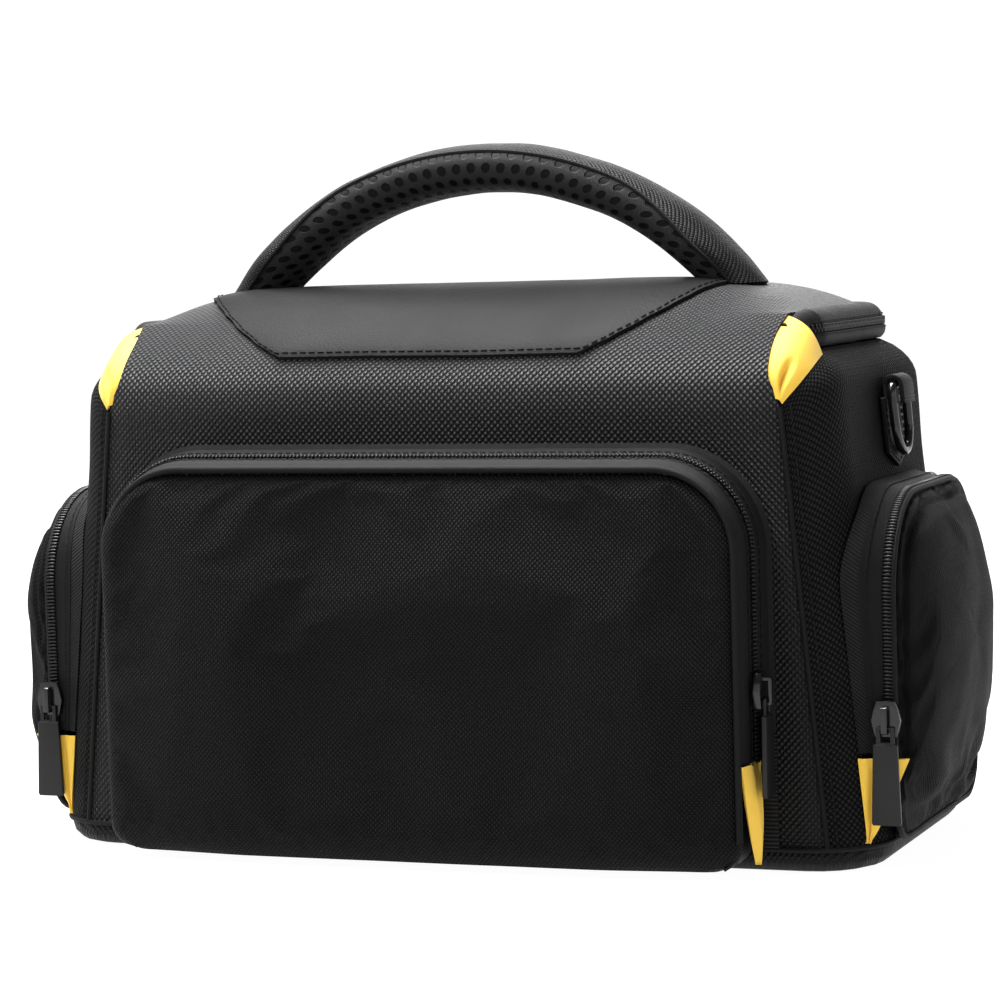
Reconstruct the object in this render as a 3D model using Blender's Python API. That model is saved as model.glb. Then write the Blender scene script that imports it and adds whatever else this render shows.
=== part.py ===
"""Camera bag: a padded body with a front-hinged zipped lid, an arched carry handle, a front pocket,
two side pockets, strap rings and padded dividers.

Metres, +Z up. The origin is the middle of the base, the front faces -Y and the width runs along X.
Every fabric panel, foam board and lining is its own thin closed solid, with a small gap to the next.
"""
import math

import bmesh
import bpy
from mathutils import Matrix, Vector

# ---------------------------------------------------------------- driving dimensions
GAP = 0.0004  # between pieces that touch on the real bag

BASE_HALF_WIDTH = 0.150
HINGE_HALF_WIDTH = 0.136
BASE_HALF_DEPTH = 0.070
HINGE_HALF_DEPTH = 0.0687
HINGE_HEIGHT = 0.152
RIM_HEIGHT = 0.1685
CORNER_RADIUS = 0.025
SHOULDER_START = 0.155
SHOULDER_RADIUS = 0.015
BASE_EDGE_HEIGHT = 0.008
SEAM_TURN = 21.0  # degrees of each corner that belong to the front or rear panel
SEAM_GAP_TURN = 0.55

SKIN = 0.0015
FOAM_OUTER = 0.0024
FOAM_INNER = 0.0088
LINING_OUTER = 0.0096
LINING_INNER = 0.0104
BOARD_BOTTOM = 0.0018
BOARD_TOP = 0.0042
BASE_FOAM_TOP = 0.0124
LINING_FLOOR_BOTTOM = 0.0128
LINING_FLOOR_TOP = 0.0136

LID_EDGE_HEIGHT = 0.1805
LID_PANEL_START = 0.1524
LID_REAR = 0.0536
LID_CORNER_RADIUS = 0.014
LID_FOAM_OUTER = 0.0018
LID_FOAM_INNER = 0.0078
LID_LINING_OUTER = 0.0081
LID_LINING_INNER = 0.0089

ROLL_RADIUS = 0.0075
ROLL_INNER_RADIUS = 0.0057
ROLL_HALF_WIDTH = 0.1193
ROLL_REAR = 0.0545
ROLL_HEIGHT = 0.1735
ROLL_FRONT = -0.0395
ROLL_CORNER_RADIUS = 0.015

HANDLE_ARC_RADIUS = 0.1106
HANDLE_ARC_HEIGHT = 0.121
HANDLE_HALF_THICKNESS = 0.0086
HANDLE_HALF_WIDTH = 0.016
HANDLE_COVER_END = 0.1985
HANDLE_CORE_END = 0.1935
HANDLE_AXIS_HEIGHT = 0.1929

FRONT_POCKET_HALF_WIDTH = 0.1135
FRONT_POCKET_TOP = 0.136
FRONT_POCKET_BOTTOM = 0.003
FRONT_POCKET_RADIUS = 0.030
FRONT_ZIP_Y = -0.0805
FRONT_FACE_Y = -0.0925
GUSSET_TOP = 0.038

SIDE_POCKET_BASE_HALF_WIDTH = 0.060
SIDE_POCKET_ZIP_HALF_WIDTH = 0.056
SIDE_POCKET_TOP = 0.124
SIDE_POCKET_BOTTOM = 0.0085
SIDE_BASE_GAP = 0.0011  # the flat strip spans the wall's round corners
SIDE_ZIP_X = 0.1500
SIDE_SHELL_X = 0.1525
SIDE_SHELL_WALL = 0.0025

RING_WIRE = 0.0017
RING_HALF_WIDTH = 0.0093
RING_BAR_HEIGHT = 0.1542
RING_BOTTOM = 0.1317
RING_Y = 0.008
STRAP_THICKNESS = 0.0016

DIVIDER_X = 0.048
DIVIDER_THICKNESS = 0.009
DIVIDER_HALF_DEPTH = 0.0576
DIVIDER_BOTTOM = 0.0142
DIVIDER_TOP = 0.146

LID_AXIS = Vector((0.0, -0.0695, HINGE_HEIGHT))
FRONT_POCKET_AXIS = Vector((0.0, -0.0915, 0.0035))
HANDLE_AXIS = Vector((0.0, 0.0, HANDLE_AXIS_HEIGHT))
SIDE_POCKET_AXIS_X = 0.1515
SIDE_POCKET_AXIS_Z = 0.009


# ---------------------------------------------------------------- materials
def material(name, color, roughness, metallic=0.0):
    """A plain Principled material."""
    result = bpy.data.materials.new(name)
    result.use_nodes = True
    shader = result.node_tree.nodes["Principled BSDF"]
    shader.inputs["Base Color"].default_value = (*color, 1.0)
    shader.inputs["Roughness"].default_value = roughness
    shader.inputs["Metallic"].default_value = metallic
    return result


def make_materials():
    return {
        "nylon": material("black_nylon", (0.018, 0.018, 0.020), 0.62),
        "binding": material("black_binding", (0.012, 0.012, 0.013), 0.78),
        "mesh": material("spacer_mesh", (0.015, 0.015, 0.017), 0.85),
        "leather": material("grey_leather", (0.060, 0.056, 0.054), 0.48),
        "yellow": material("yellow_nylon", (0.90, 0.58, 0.07), 0.70),
        "zip": material("zip_tape", (0.016, 0.016, 0.017), 0.60),
        "metal": material("black_metal", (0.010, 0.010, 0.011), 0.22, 1.0),
        "pull": material("black_pull", (0.014, 0.014, 0.015), 0.45),
        "foam": material("foam", (0.20, 0.20, 0.21), 0.95),
        "lining": material("lining", (0.10, 0.10, 0.11), 0.85),
        "board": material("base_board", (0.05, 0.05, 0.055), 0.60),
    }


# ---------------------------------------------------------------- mesh helpers
def face_outwards(mesh_data):
    """Make the faces consistent and turn them out, judged by the enclosed volume."""
    bmesh.ops.recalc_face_normals(mesh_data, faces=mesh_data.faces)
    if mesh_data.calc_volume(signed=True) < 0:
        bmesh.ops.reverse_faces(mesh_data, faces=mesh_data.faces)


def finish_object(name, mesh_data, paint, origin):
    """Turn a bmesh into a named object whose origin is the given point."""
    face_outwards(mesh_data)
    bmesh.ops.translate(mesh_data, verts=mesh_data.verts, vec=-Vector(origin))
    mesh = bpy.data.meshes.new(name)
    mesh_data.to_mesh(mesh)
    mesh_data.free()
    mesh.materials.append(paint)
    mesh.shade_smooth()
    mesh.set_sharp_from_angle(angle=math.radians(32))
    result = bpy.data.objects.new(name, mesh)
    result.location = origin
    bpy.context.scene.collection.objects.link(result)
    return result


def sheet_mesh(outer, inner, cyclic=False, capped=False):
    """Closed thick sheet between two grids of points.

    cyclic joins each row's end to its start, and capped closes the last row across.
    """
    mesh_data = bmesh.new()
    grids = [[[mesh_data.verts.new(point) for point in row] for row in grid] for grid in (outer, inner)]
    rows = len(outer)
    columns = len(outer[0])
    spans = columns if cyclic else columns - 1
    for row in range(rows - 1):
        for column in range(spans):
            after = (column + 1) % columns
            for grid in grids:
                corners = (grid[row][column], grid[row][after], grid[row + 1][after], grid[row + 1][column])
                mesh_data.faces.new(corners)
    front, back = grids
    edge_rows = (0,) if capped else (0, rows - 1)
    for row in edge_rows:
        for column in range(spans):
            after = (column + 1) % columns
            mesh_data.faces.new((front[row][column], front[row][after], back[row][after], back[row][column]))
    if capped:
        mesh_data.faces.new(front[-1])
        mesh_data.faces.new(back[-1])
    if not cyclic:
        for row in range(rows - 1):
            for column in (0, columns - 1):
                corners = (front[row][column], front[row + 1][column], back[row + 1][column], back[row][column])
                mesh_data.faces.new(corners)
    return mesh_data


def loft_mesh(sections, closed=False):
    """Skin a row of closed cross-sections; open ends get a flat cap."""
    mesh_data = bmesh.new()
    rings = [[mesh_data.verts.new(point) for point in section] for section in sections]
    count = len(rings[0])
    pairs = list(zip(rings, rings[1:]))
    if closed:
        pairs.append((rings[-1], rings[0]))
    for ring, following in pairs:
        for index in range(count):
            after = (index + 1) % count
            mesh_data.faces.new((ring[index], ring[after], following[after], following[index]))
    if not closed:
        mesh_data.faces.new(rings[0])
        mesh_data.faces.new(rings[-1])
    return mesh_data


def prism_mesh(outline, low, high):
    """Extrude an outline of (a, b) points from low to high along the third axis."""
    return loft_mesh([[Vector((a, b, height)) for a, b in outline] for height in (low, high)])


def turn_mesh(mesh_data, matrix):
    bmesh.ops.transform(mesh_data, matrix=matrix, verts=mesh_data.verts)
    return mesh_data


def union_mesh(name, pieces):
    """One mesh from overlapping closed pieces, joined by exact Boolean unions."""
    objects = []
    for piece in pieces:
        face_outwards(piece)
        mesh = bpy.data.meshes.new(name)
        piece.to_mesh(mesh)
        piece.free()
        item = bpy.data.objects.new(name, mesh)
        bpy.context.scene.collection.objects.link(item)
        objects.append(item)
    first = objects[0]
    for item in objects[1:]:
        join = first.modifiers.new("join", "BOOLEAN")
        join.operation = "UNION"
        join.solver = "EXACT"
        join.object = item
    graph = bpy.context.evaluated_depsgraph_get()
    result = bmesh.new()
    result.from_object(first, graph)
    for item in objects:
        bpy.data.objects.remove(item)
    return result


def arc(center, radius, start, stop, steps):
    """Points on a circle in a plane, from one angle to another in degrees, both ends included."""
    points = []
    for step in range(steps + 1):
        angle = math.radians(start + (stop - start) * step / steps)
        points.append((center[0] + radius * math.cos(angle), center[1] + radius * math.sin(angle)))
    return points


# ---------------------------------------------------------------- body outline
def shoulder_inset(height):
    """How far the wall has rounded inwards near its rim."""
    rise = height - SHOULDER_START
    if rise <= 0:
        return 0.0
    return SHOULDER_RADIUS - math.sqrt(SHOULDER_RADIUS**2 - rise**2)


def half_width(height):
    taper = (BASE_HALF_WIDTH - HINGE_HALF_WIDTH) * height / HINGE_HEIGHT
    return BASE_HALF_WIDTH - taper - shoulder_inset(height)


def half_depth(height):
    taper = (BASE_HALF_DEPTH - HINGE_HALF_DEPTH) * height / HINGE_HEIGHT
    return BASE_HALF_DEPTH - taper - shoulder_inset(height)


def wall_point(station, height, inset):
    """Point of the rounded-rectangle wall; a station is (outward angle, side sign, depth sign)."""
    turn, side, depth = station
    radius = CORNER_RADIUS - inset
    x = side * (half_width(height) - CORNER_RADIUS) + radius * math.cos(math.radians(turn))
    y = depth * (half_depth(height) - CORNER_RADIUS) + radius * math.sin(math.radians(turn))
    return Vector((x, y, height))


def stations(side, depth, start, stop, steps):
    return [(start + (stop - start) * step / steps, side, depth) for step in range(steps + 1)]


def front_stations():
    return stations(-1, -1, -90 - SEAM_TURN, -90, 3) + stations(1, -1, -90, -90 + SEAM_TURN, 3)


def rear_stations():
    return stations(1, 1, 90 - SEAM_TURN, 90, 3) + stations(-1, 1, 90, 90 + SEAM_TURN, 3)


def side_stations():
    """Right side from the front seam to the rear seam."""
    limit = 90 - SEAM_TURN - SEAM_GAP_TURN * 2
    return stations(1, -1, -limit, 0, 6) + stations(1, 1, 0, limit, 6)


def mirrored(points):
    return [Vector((-point.x, point.y, point.z)) for point in points]


def side_top(station):
    """The side wall's rim drops along the front corner, down to the lid's hinge line."""
    turn, _, depth = station
    if depth > 0:
        return RIM_HEIGHT
    share = 1 + turn / (90 - SEAM_TURN)
    return RIM_HEIGHT - (RIM_HEIGHT - HINGE_HEIGHT) * (1 - share) ** 2


WALL_LEVELS = (0.0, 0.45, 0.86, 0.92, 0.96, 0.985, 1.0)


def wall_grid(path, bottom, top_of, inset, drop=0.0):
    rows = []
    for share in WALL_LEVELS:
        row = []
        for station in path:
            top = top_of(station) - drop
            row.append(wall_point(station, bottom + (top - bottom) * share, inset))
        rows.append(row)
    return rows


def front_top(_station):
    return HINGE_HEIGHT - GAP


def rear_top(_station):
    return RIM_HEIGHT


def add_wall(name, path, bottom, top_of, insets, paint, mirror=False, drop=0.0):
    grids = [wall_grid(path, bottom, top_of, inset, drop) for inset in insets]
    if mirror:
        grids = [[mirrored(row) for row in grid] for grid in grids]
    return finish_object(name, sheet_mesh(*grids), paint, (0.0, 0.0, 0.0))


# ---------------------------------------------------------------- body
def ring_points(height, inset, steps=5):
    """The whole wall outline at one height, counter-clockwise from the front left corner."""
    path = []
    for side, depth, start in ((-1, -1, -180), (1, -1, -90), (1, 1, 0), (-1, 1, 90)):
        path += stations(side, depth, start, start + 90, steps)
    return [wall_point(station, height, inset) for station in path]


def at_height(points, height):
    return [Vector((point.x, point.y, height)) for point in points]


def build_base(paints):
    outer = []
    inner = []
    for share in (1.0, 0.45, 0.12, 0.0):
        inset = 0.0072 * (1 - math.sqrt(max(0.0, 1 - (1 - share) ** 2)) if share < 1 else 0.0)
        outer.append(at_height(ring_points(BASE_EDGE_HEIGHT, inset), BASE_EDGE_HEIGHT * share))
        height = max(BASE_EDGE_HEIGHT * share, SKIN)
        inner.append(at_height(ring_points(BASE_EDGE_HEIGHT, inset + SKIN), height))
    base = sheet_mesh(outer, inner, cyclic=True, capped=True)
    finish_object("base_panel", base, paints["nylon"], (0.0, 0.0, 0.0))

    board_inset = 0.0105
    board = [at_height(ring_points(BASE_EDGE_HEIGHT, board_inset), z) for z in (BOARD_BOTTOM, BOARD_TOP)]
    finish_object("base_board", loft_mesh(board), paints["board"], (0.0, 0.0, 0.0))
    foam_heights = (BOARD_TOP + GAP, BASE_FOAM_TOP)
    foam = [at_height(ring_points(BASE_EDGE_HEIGHT, board_inset), z) for z in foam_heights]
    finish_object("foam_base", loft_mesh(foam), paints["foam"], (0.0, 0.0, 0.0))


def build_walls(paints):
    bottom = BASE_EDGE_HEIGHT + GAP
    skin = (0.0, SKIN)
    foam = (FOAM_OUTER, FOAM_INNER)
    foam_bottom = LINING_FLOOR_BOTTOM
    add_wall("front_panel", front_stations(), bottom, front_top, skin, paints["nylon"])
    add_wall("rear_panel", rear_stations(), bottom, rear_top, skin, paints["nylon"])
    add_wall("foam_front", front_stations(), foam_bottom, front_top, foam, paints["foam"], drop=0.002)
    add_wall("foam_rear", rear_stations(), foam_bottom, rear_top, foam, paints["foam"], drop=0.002)
    for side, mirror in (("right", False), ("left", True)):
        path = side_stations()
        add_wall("side_panel_" + side, path, bottom, side_top, skin, paints["nylon"], mirror)
        add_wall("foam_" + side, path, foam_bottom, side_top, foam, paints["foam"], mirror, drop=0.002)


def build_lining(paints):
    """An open box of lining fabric: its rim follows the walls' rim, its floor lies on the base foam."""
    path = []
    for side, depth, start in ((-1, -1, -180), (1, -1, -90), (1, 1, 0), (-1, 1, 90)):
        path += stations(side, depth, start, start + 90, 5)

    def top_of(station):
        turn, side, depth = station
        folded = abs(-180 - turn) if side < 0 else abs(turn)
        if depth > 0:
            return RIM_HEIGHT
        if folded > 90 - SEAM_TURN:
            return HINGE_HEIGHT
        return side_top((-folded, 1, depth))

    outer = []
    inner = []
    for share in reversed(WALL_LEVELS):
        outer_row = []
        inner_row = []
        for station in path:
            top = top_of(station) - 0.003
            height = LINING_FLOOR_BOTTOM + (top - LINING_FLOOR_BOTTOM) * share
            outer_row.append(wall_point(station, height, LINING_OUTER))
            inner_row.append(wall_point(station, max(height, LINING_FLOOR_TOP), LINING_INNER))
        outer.append(outer_row)
        inner.append(inner_row)
    lining = sheet_mesh(outer, inner, cyclic=True, capped=True)
    finish_object("lining", lining, paints["lining"], (0.0, 0.0, 0.0))


def build_dividers(paints):
    half = DIVIDER_THICKNESS / 2
    edge = 0.003
    for name, side in (("divider_left", -1), ("divider_right", 1)):
        outline = []
        for corner_x, corner_y, start in ((1, 1, 0), (-1, 1, 90), (-1, -1, 180), (1, -1, 270)):
            center = (corner_x * (half - edge), corner_y * (DIVIDER_HALF_DEPTH - edge))
            outline += arc(center, edge, start, start + 90, 3)
        slab = prism_mesh(outline, DIVIDER_BOTTOM, DIVIDER_TOP)
        turn_mesh(slab, Matrix.Translation((side * DIVIDER_X, 0, 0)))
        finish_object(name, slab, paints["lining"], (side * DIVIDER_X, 0.0, DIVIDER_BOTTOM))


# ---------------------------------------------------------------- rolled edge with the main zip
def roll_path():
    """Stations (centre, outward) of the rolled edge: right side, rear, left side."""
    inner_x = ROLL_HALF_WIDTH - ROLL_CORNER_RADIUS
    inner_y = ROLL_REAR - ROLL_CORNER_RADIUS
    path = [(Vector((ROLL_HALF_WIDTH, ROLL_FRONT, ROLL_HEIGHT)), Vector((1, 0, 0)))]
    for start, corner_x in ((0, inner_x), (90, -inner_x)):
        for step in range(7):
            turn = math.radians(start + 90 * step / 6)
            outward = Vector((math.cos(turn), math.sin(turn), 0))
            center = Vector((corner_x, inner_y, ROLL_HEIGHT)) + outward * ROLL_CORNER_RADIUS
            path.append((center, outward))
    path.append((Vector((-ROLL_HALF_WIDTH, ROLL_FRONT, ROLL_HEIGHT)), Vector((-1, 0, 0))))
    return path


def add_roll(name, start, stop, outer_radius, inner_radius, steps, paint, origin):
    """One strip of the rolled edge, between two angles above the horizontal."""
    rows = {outer_radius: [], inner_radius: []}
    for radius, grid in rows.items():
        for center, outward in roll_path():
            row = []
            for step in range(steps + 1):
                angle = math.radians(start + (stop - start) * step / steps)
                row.append(center + outward * radius * math.cos(angle) + Vector((0, 0, radius * math.sin(angle))))
            grid.append(row)
    finish_object(name, sheet_mesh(rows[outer_radius], rows[inner_radius]), paint, origin)


def build_roll(paints):
    tape_outer = ROLL_RADIUS - 0.0003
    tape_inner = ROLL_INNER_RADIUS + 0.0002
    add_roll("rim_band", -37, 0, ROLL_RADIUS, ROLL_INNER_RADIUS, 4, paints["binding"], (0, 0, 0))
    add_roll("main_zip_tape_lower", 3, 11, tape_outer, tape_inner, 1, paints["zip"], (0, 0, 0))
    add_roll("main_zip_tape_upper", 14, 22, tape_outer, tape_inner, 1, paints["zip"], LID_AXIS)
    add_roll("lid_band", 25, 85, ROLL_RADIUS, ROLL_INNER_RADIUS, 5, paints["binding"], LID_AXIS)


# ---------------------------------------------------------------- lid
# Side view of the lid's skin at its middle, from the hinge line over the top to the rear: (y, z).
LID_PROFILE = (
    (-0.0693, LID_PANEL_START), (-0.0675, 0.1600), (-0.0620, 0.1680), (-0.0540, 0.1745),
    (-0.0440, 0.1805), (-0.0340, 0.1855), (-0.0220, 0.1895), (-0.0050, 0.1910),
    (0.0250, 0.1905), (0.0390, 0.1884), (0.0480, 0.1852), (0.0515, 0.1832), (LID_REAR, 0.1815),
)
LID_HALF_WIDTHS = (
    0.1190, 0.1160, 0.1155, 0.1155, 0.1170, 0.1182, 0.1185, 0.1185, 0.1185, 0.1184, 0.1154, 0.1118, 0.1060,
)
LID_COLUMNS = (-1.0, -0.95, -0.88, -0.78, -0.4, 0.0, 0.4, 0.78, 0.88, 0.95, 1.0)
LID_CROWN_POWER = 8


def offset_profile(profile, distance):
    """Move an open outline inwards, to the right of its direction of travel."""
    points = [Vector(point) for point in profile]
    result = []
    for index, point in enumerate(points):
        before = points[max(index - 1, 0)]
        after = points[min(index + 1, len(points) - 1)]
        along = (after - before).normalized()
        result.append(point + Vector((along.y, -along.x)) * distance)
    return result


def lid_grid(inset, columns=LID_COLUMNS, rows=range(len(LID_PROFILE))):
    profile = offset_profile(LID_PROFILE, inset)
    drops = [max(0.0, z - LID_EDGE_HEIGHT) for _, z in LID_PROFILE]
    grid = []
    for row in rows:
        y, z = profile[row]
        width = LID_HALF_WIDTHS[row] - inset
        grid.append([Vector((u * width, y, z - drops[row] * abs(u) ** LID_CROWN_POWER)) for u in columns])
    return grid


def build_lid(paints):
    add = ((0.0, SKIN, "lid_panel", "nylon"), (LID_FOAM_OUTER, LID_FOAM_INNER, "lid_foam", "foam"),
           (LID_LINING_OUTER, LID_LINING_INNER, "lid_lining", "lining"))
    for outer, inner, name, paint in add:
        finish_object(name, sheet_mesh(lid_grid(outer), lid_grid(inner)), paints[paint], LID_AXIS)


def build_patch(paints):
    """Leather patch over the lid's front slope and top, narrower at its lower edge."""
    profile = LID_PROFILE[2:9]
    half_widths = (0.058, 0.072, 0.086, 0.094, 0.097, 0.097, 0.094)
    columns = (-1.0, -0.94, -0.8, -0.48, 0.0, 0.48, 0.8, 0.94, 1.0)
    grids = []
    for lift in (-0.0005 - 0.0009, -0.0005):
        offset = offset_profile(profile, lift)
        grid = []
        for (y, z), width, (_, middle) in zip(offset, half_widths, profile):
            drop = max(0.0, middle - LID_EDGE_HEIGHT)
            row = []
            for u in columns:
                fall = drop * (abs(u) * width / LID_HALF_WIDTHS[6]) ** LID_CROWN_POWER
                row.append(Vector((u * width, y, z - fall)))
            grid.append(row)
        grids.append(grid)
    finish_object("lid_patch", sheet_mesh(*grids), paints["leather"], LID_AXIS)


def lid_edge(y):
    """Point of the lid skin's right-hand edge at a given depth, along the front slope."""
    for index in range(len(LID_PROFILE) - 1):
        (y0, z0), (y1, z1) = LID_PROFILE[index], LID_PROFILE[index + 1]
        if y0 <= y <= y1:
            share = (y - y0) / (y1 - y0)
            x0, x1 = LID_HALF_WIDTHS[index], LID_HALF_WIDTHS[index + 1]
            return Vector((x0 + (x1 - x0) * share, y, min(z0 + (z1 - z0) * share, LID_EDGE_HEIGHT)))
    raise ValueError("outside the lid's profile")


def build_corner_gussets(paints):
    """Folded inserts that let the lid's front corners open out."""
    clear = 0.0009
    turns = (-64, -52, -40, -28, -18)
    outer = []
    inner = []
    for turn in turns:
        station = (turn, 1, -1)
        low = wall_point(station, side_top(station), -0.0004) + Vector((0, 0, clear))
        high = lid_edge(low.y) + Vector((clear, 0, 0))
        middle = (low + high) / 2 + Vector((0.0022, -0.0012, 0.0012))
        row = [low, middle, high]
        outer.append(row)
        inner.append([low + Vector((-0.0012, 0.0006, 0.0002)), middle + Vector((-0.0008, 0.0006, -0.0008)),
                      high + Vector((0.0002, 0.0006, -0.0012))])
    for name, mirror in (("corner_gusset_right", False), ("corner_gusset_left", True)):
        grids = [[mirrored(row) for row in grid] if mirror else grid for grid in (outer, inner)]
        finish_object(name, sheet_mesh(*grids), paints["yellow"], LID_AXIS)


# ---------------------------------------------------------------- handle
def handle_point(share, offset, y, end_height):
    """Point of the arched handle; offset is radial, share runs -1..1, ends are cut level."""
    radius = HANDLE_ARC_RADIUS + offset
    limit = math.acos((end_height - HANDLE_ARC_HEIGHT) / radius)
    angle = limit * share
    return Vector((radius * math.sin(angle), y, HANDLE_ARC_HEIGHT + radius * math.cos(angle)))


def build_handle(paints):
    core_half = 0.0014
    steps = 14
    shares = [2 * step / steps - 1 for step in range(steps + 1)]
    pad_base = core_half + GAP
    for name, side, paint in (("handle_cover", 1, "nylon"), ("handle_mesh", -1, "mesh")):
        outline = []
        for step in range(9):
            angle = math.pi * step / 8
            bulge = math.sin(angle) ** 0.75
            outline.append((side * (pad_base + (HANDLE_HALF_THICKNESS - pad_base) * bulge),
                            HANDLE_HALF_WIDTH * math.cos(angle)))
        sections = []
        for share in shares:
            sections.append([handle_point(share, offset, y, HANDLE_COVER_END) for offset, y in outline])
        finish_object(name, loft_mesh(sections), paints[paint], HANDLE_AXIS)
    sections = []
    for share in (-1.0, -0.91, *shares[2:-2], 0.91, 1.0):
        half = 0.0015 if abs(share) == 1 else 0.011
        corners = ((core_half, half), (core_half, -half), (-core_half, -half), (-core_half, half))
        sections.append([handle_point(share, offset, y, HANDLE_CORE_END) for offset, y in corners])
    finish_object("handle_core", loft_mesh(sections), paints["binding"], HANDLE_AXIS)


# ---------------------------------------------------------------- front pocket
def arch(half, top, bottom, radius, steps=6):
    """An upside-down U of (a, z) points, from the lower left over the top to the lower right."""
    left = arc((-half + radius, top - radius), radius, 180, 90, steps)
    right = arc((half - radius, top - radius), radius, 90, 0, steps)
    return [(-half, bottom)] + left + right + [(half, bottom)]


def front_arch(inset, bottom, y):
    outline = arch(FRONT_POCKET_HALF_WIDTH - inset, FRONT_POCKET_TOP - inset, bottom,
                   FRONT_POCKET_RADIUS - inset)
    return [Vector((x, y, z)) for x, z in outline]


def add_front_strip(name, inset, thickness, y_low, y_high, bottom, paint, origin):
    outer = [front_arch(inset, bottom, y) for y in (y_low, y_high)]
    inner = [front_arch(inset + thickness, bottom, y) for y in (y_low, y_high)]
    finish_object(name, sheet_mesh(outer, inner), paint, origin)


def build_front_pocket(paints):
    root = (0.0, 0.0, 0.0)
    body_y = -BASE_HALF_DEPTH - GAP
    tape = 0.0012
    zip_gap = GAP / 2
    strip_bottom = GUSSET_TOP + 0.0005
    add_front_strip("front_pocket_wall", 0.0, 0.0018, FRONT_ZIP_Y + tape + GAP, body_y,
                    strip_bottom, paints["zip"], root)
    add_front_strip("front_zip_tape_wall", 0.0003, 0.0012, FRONT_ZIP_Y + zip_gap, FRONT_ZIP_Y + tape,
                    strip_bottom, paints["zip"], root)
    add_front_strip("front_zip_tape_panel", 0.0005, 0.0012, FRONT_ZIP_Y - tape, FRONT_ZIP_Y - zip_gap,
                    strip_bottom, paints["zip"], FRONT_POCKET_AXIS)
    rim_front = FRONT_FACE_Y + 0.0028
    add_front_strip("front_pocket_rim", 0.0007, 0.0018, rim_front, FRONT_ZIP_Y - tape - GAP,
                    strip_bottom, paints["binding"], FRONT_POCKET_AXIS)

    face_inset = 0.0042
    face_bottom = FRONT_POCKET_BOTTOM + 0.0012
    outline = [(point.x, point.z) for point in front_arch(face_inset, face_bottom, 0)]
    face = loft_mesh([[Vector((x, y, z)) for x, z in outline] for y in (FRONT_FACE_Y, FRONT_FACE_Y + 0.0022)])
    finish_object("front_pocket_panel", face, paints["nylon"], FRONT_POCKET_AXIS)

    piping_radius = 0.0013
    middle = front_arch(face_inset - piping_radius - GAP, face_bottom, FRONT_FACE_Y + piping_radius)
    sections = []
    for index, point in enumerate(middle):
        before = middle[max(index - 1, 0)]
        after = middle[min(index + 1, len(middle) - 1)]
        along = (after - before).normalized()
        out = along.cross(Vector((0, 1, 0)))
        ring = []
        for step in range(6):
            angle = math.tau * step / 6
            ring.append(point + (out * math.cos(angle) + Vector((0, 1, 0)) * math.sin(angle)) * piping_radius)
        sections.append(ring)
    finish_object("front_pocket_piping", loft_mesh(sections), paints["binding"], FRONT_POCKET_AXIS)

    floor_half = FRONT_POCKET_HALF_WIDTH - 0.006
    floor = [(-floor_half, body_y), (floor_half, body_y), (floor_half, -0.0885), (-floor_half, -0.0885)]
    finish_object("front_pocket_floor", prism_mesh(floor, FRONT_POCKET_BOTTOM, FRONT_POCKET_BOTTOM + SKIN),
                  paints["nylon"], root)

    for name, side in (("front_gusset_left", -1), ("front_gusset_right", 1)):
        outer_x = side * (FRONT_POCKET_HALF_WIDTH - 0.0006)
        inner_x = side * (FRONT_POCKET_HALF_WIDTH - 0.0018)
        insert = ((body_y - 0.0004, GUSSET_TOP), (-0.0888, GUSSET_TOP), (-0.0865, 0.020), (-0.0805, 0.0048),
                  (-0.0780, 0.0048), (-0.0725, 0.020))
        sections = [[Vector((x, y, z)) for y, z in insert] for x in (outer_x, inner_x)]
        finish_object(name, loft_mesh(sections), paints["yellow"], root)


# ---------------------------------------------------------------- side pockets
def side_surface_x(y, height):
    """The side wall's outer face at a depth and height, round corners included."""
    overhang = max(0.0, abs(y) - (half_depth(height) - CORNER_RADIUS))
    return half_width(height) - CORNER_RADIUS + math.sqrt(CORNER_RADIUS**2 - overhang**2)


def pocket_outline(half, top, bottom, top_radius, bottom_radius, gap_top, front_corner=False):
    """(y, z) points from the front side at gap_top, over the top and rear, and along the bottom."""
    points = [(-half, gap_top)]
    points += arc((-half + top_radius, top - top_radius), top_radius, 180, 90, 5)
    points += arc((half - top_radius, top - top_radius), top_radius, 90, 0, 5)
    points += arc((half - bottom_radius, bottom + bottom_radius), bottom_radius, 0, -90, 3)
    if front_corner:
        points += arc((-half + bottom_radius, bottom + bottom_radius), bottom_radius, -90, -180, 3)
    else:
        points.append((-half + bottom_radius, bottom))
    return points


def add_side(name, mesh_builder, paint, side, origin):
    """Build for the right side and flip across the middle for the left."""
    mesh_data = mesh_builder()
    if side < 0:
        turn_mesh(mesh_data, Matrix.Diagonal((-1, 1, 1, 1)))
    return finish_object(name, mesh_data, paint, (side * origin[0], origin[1], origin[2]))


def side_rim_outline(inset):
    """Outline of the side pocket's opening, along its zip."""
    return pocket_outline(SIDE_POCKET_ZIP_HALF_WIDTH - inset, SIDE_POCKET_TOP - 0.0025 - inset,
                          SIDE_POCKET_BOTTOM + 0.0004 + inset, 0.032 - inset, 0.010 - inset,
                          GUSSET_TOP + 0.0005)


def side_wall_mesh():
    grids = []
    for inset in (0.0, 0.0018):
        base = pocket_outline(SIDE_POCKET_BASE_HALF_WIDTH - inset, SIDE_POCKET_TOP - inset,
                              SIDE_POCKET_BOTTOM + inset, 0.034 - inset, 0.012 - inset,
                              GUSSET_TOP + 0.0005)
        rim = side_rim_outline(inset)
        outer_x = SIDE_ZIP_X - GAP
        rows = [[], [Vector((outer_x, y, z)) for y, z in rim]]
        for y, z in base:
            rows[0].append(Vector((min(side_surface_x(y, z) + SIDE_BASE_GAP, outer_x - GAP / 2), y, z)))
        grids.append(rows)
    return sheet_mesh(*grids)


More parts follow.
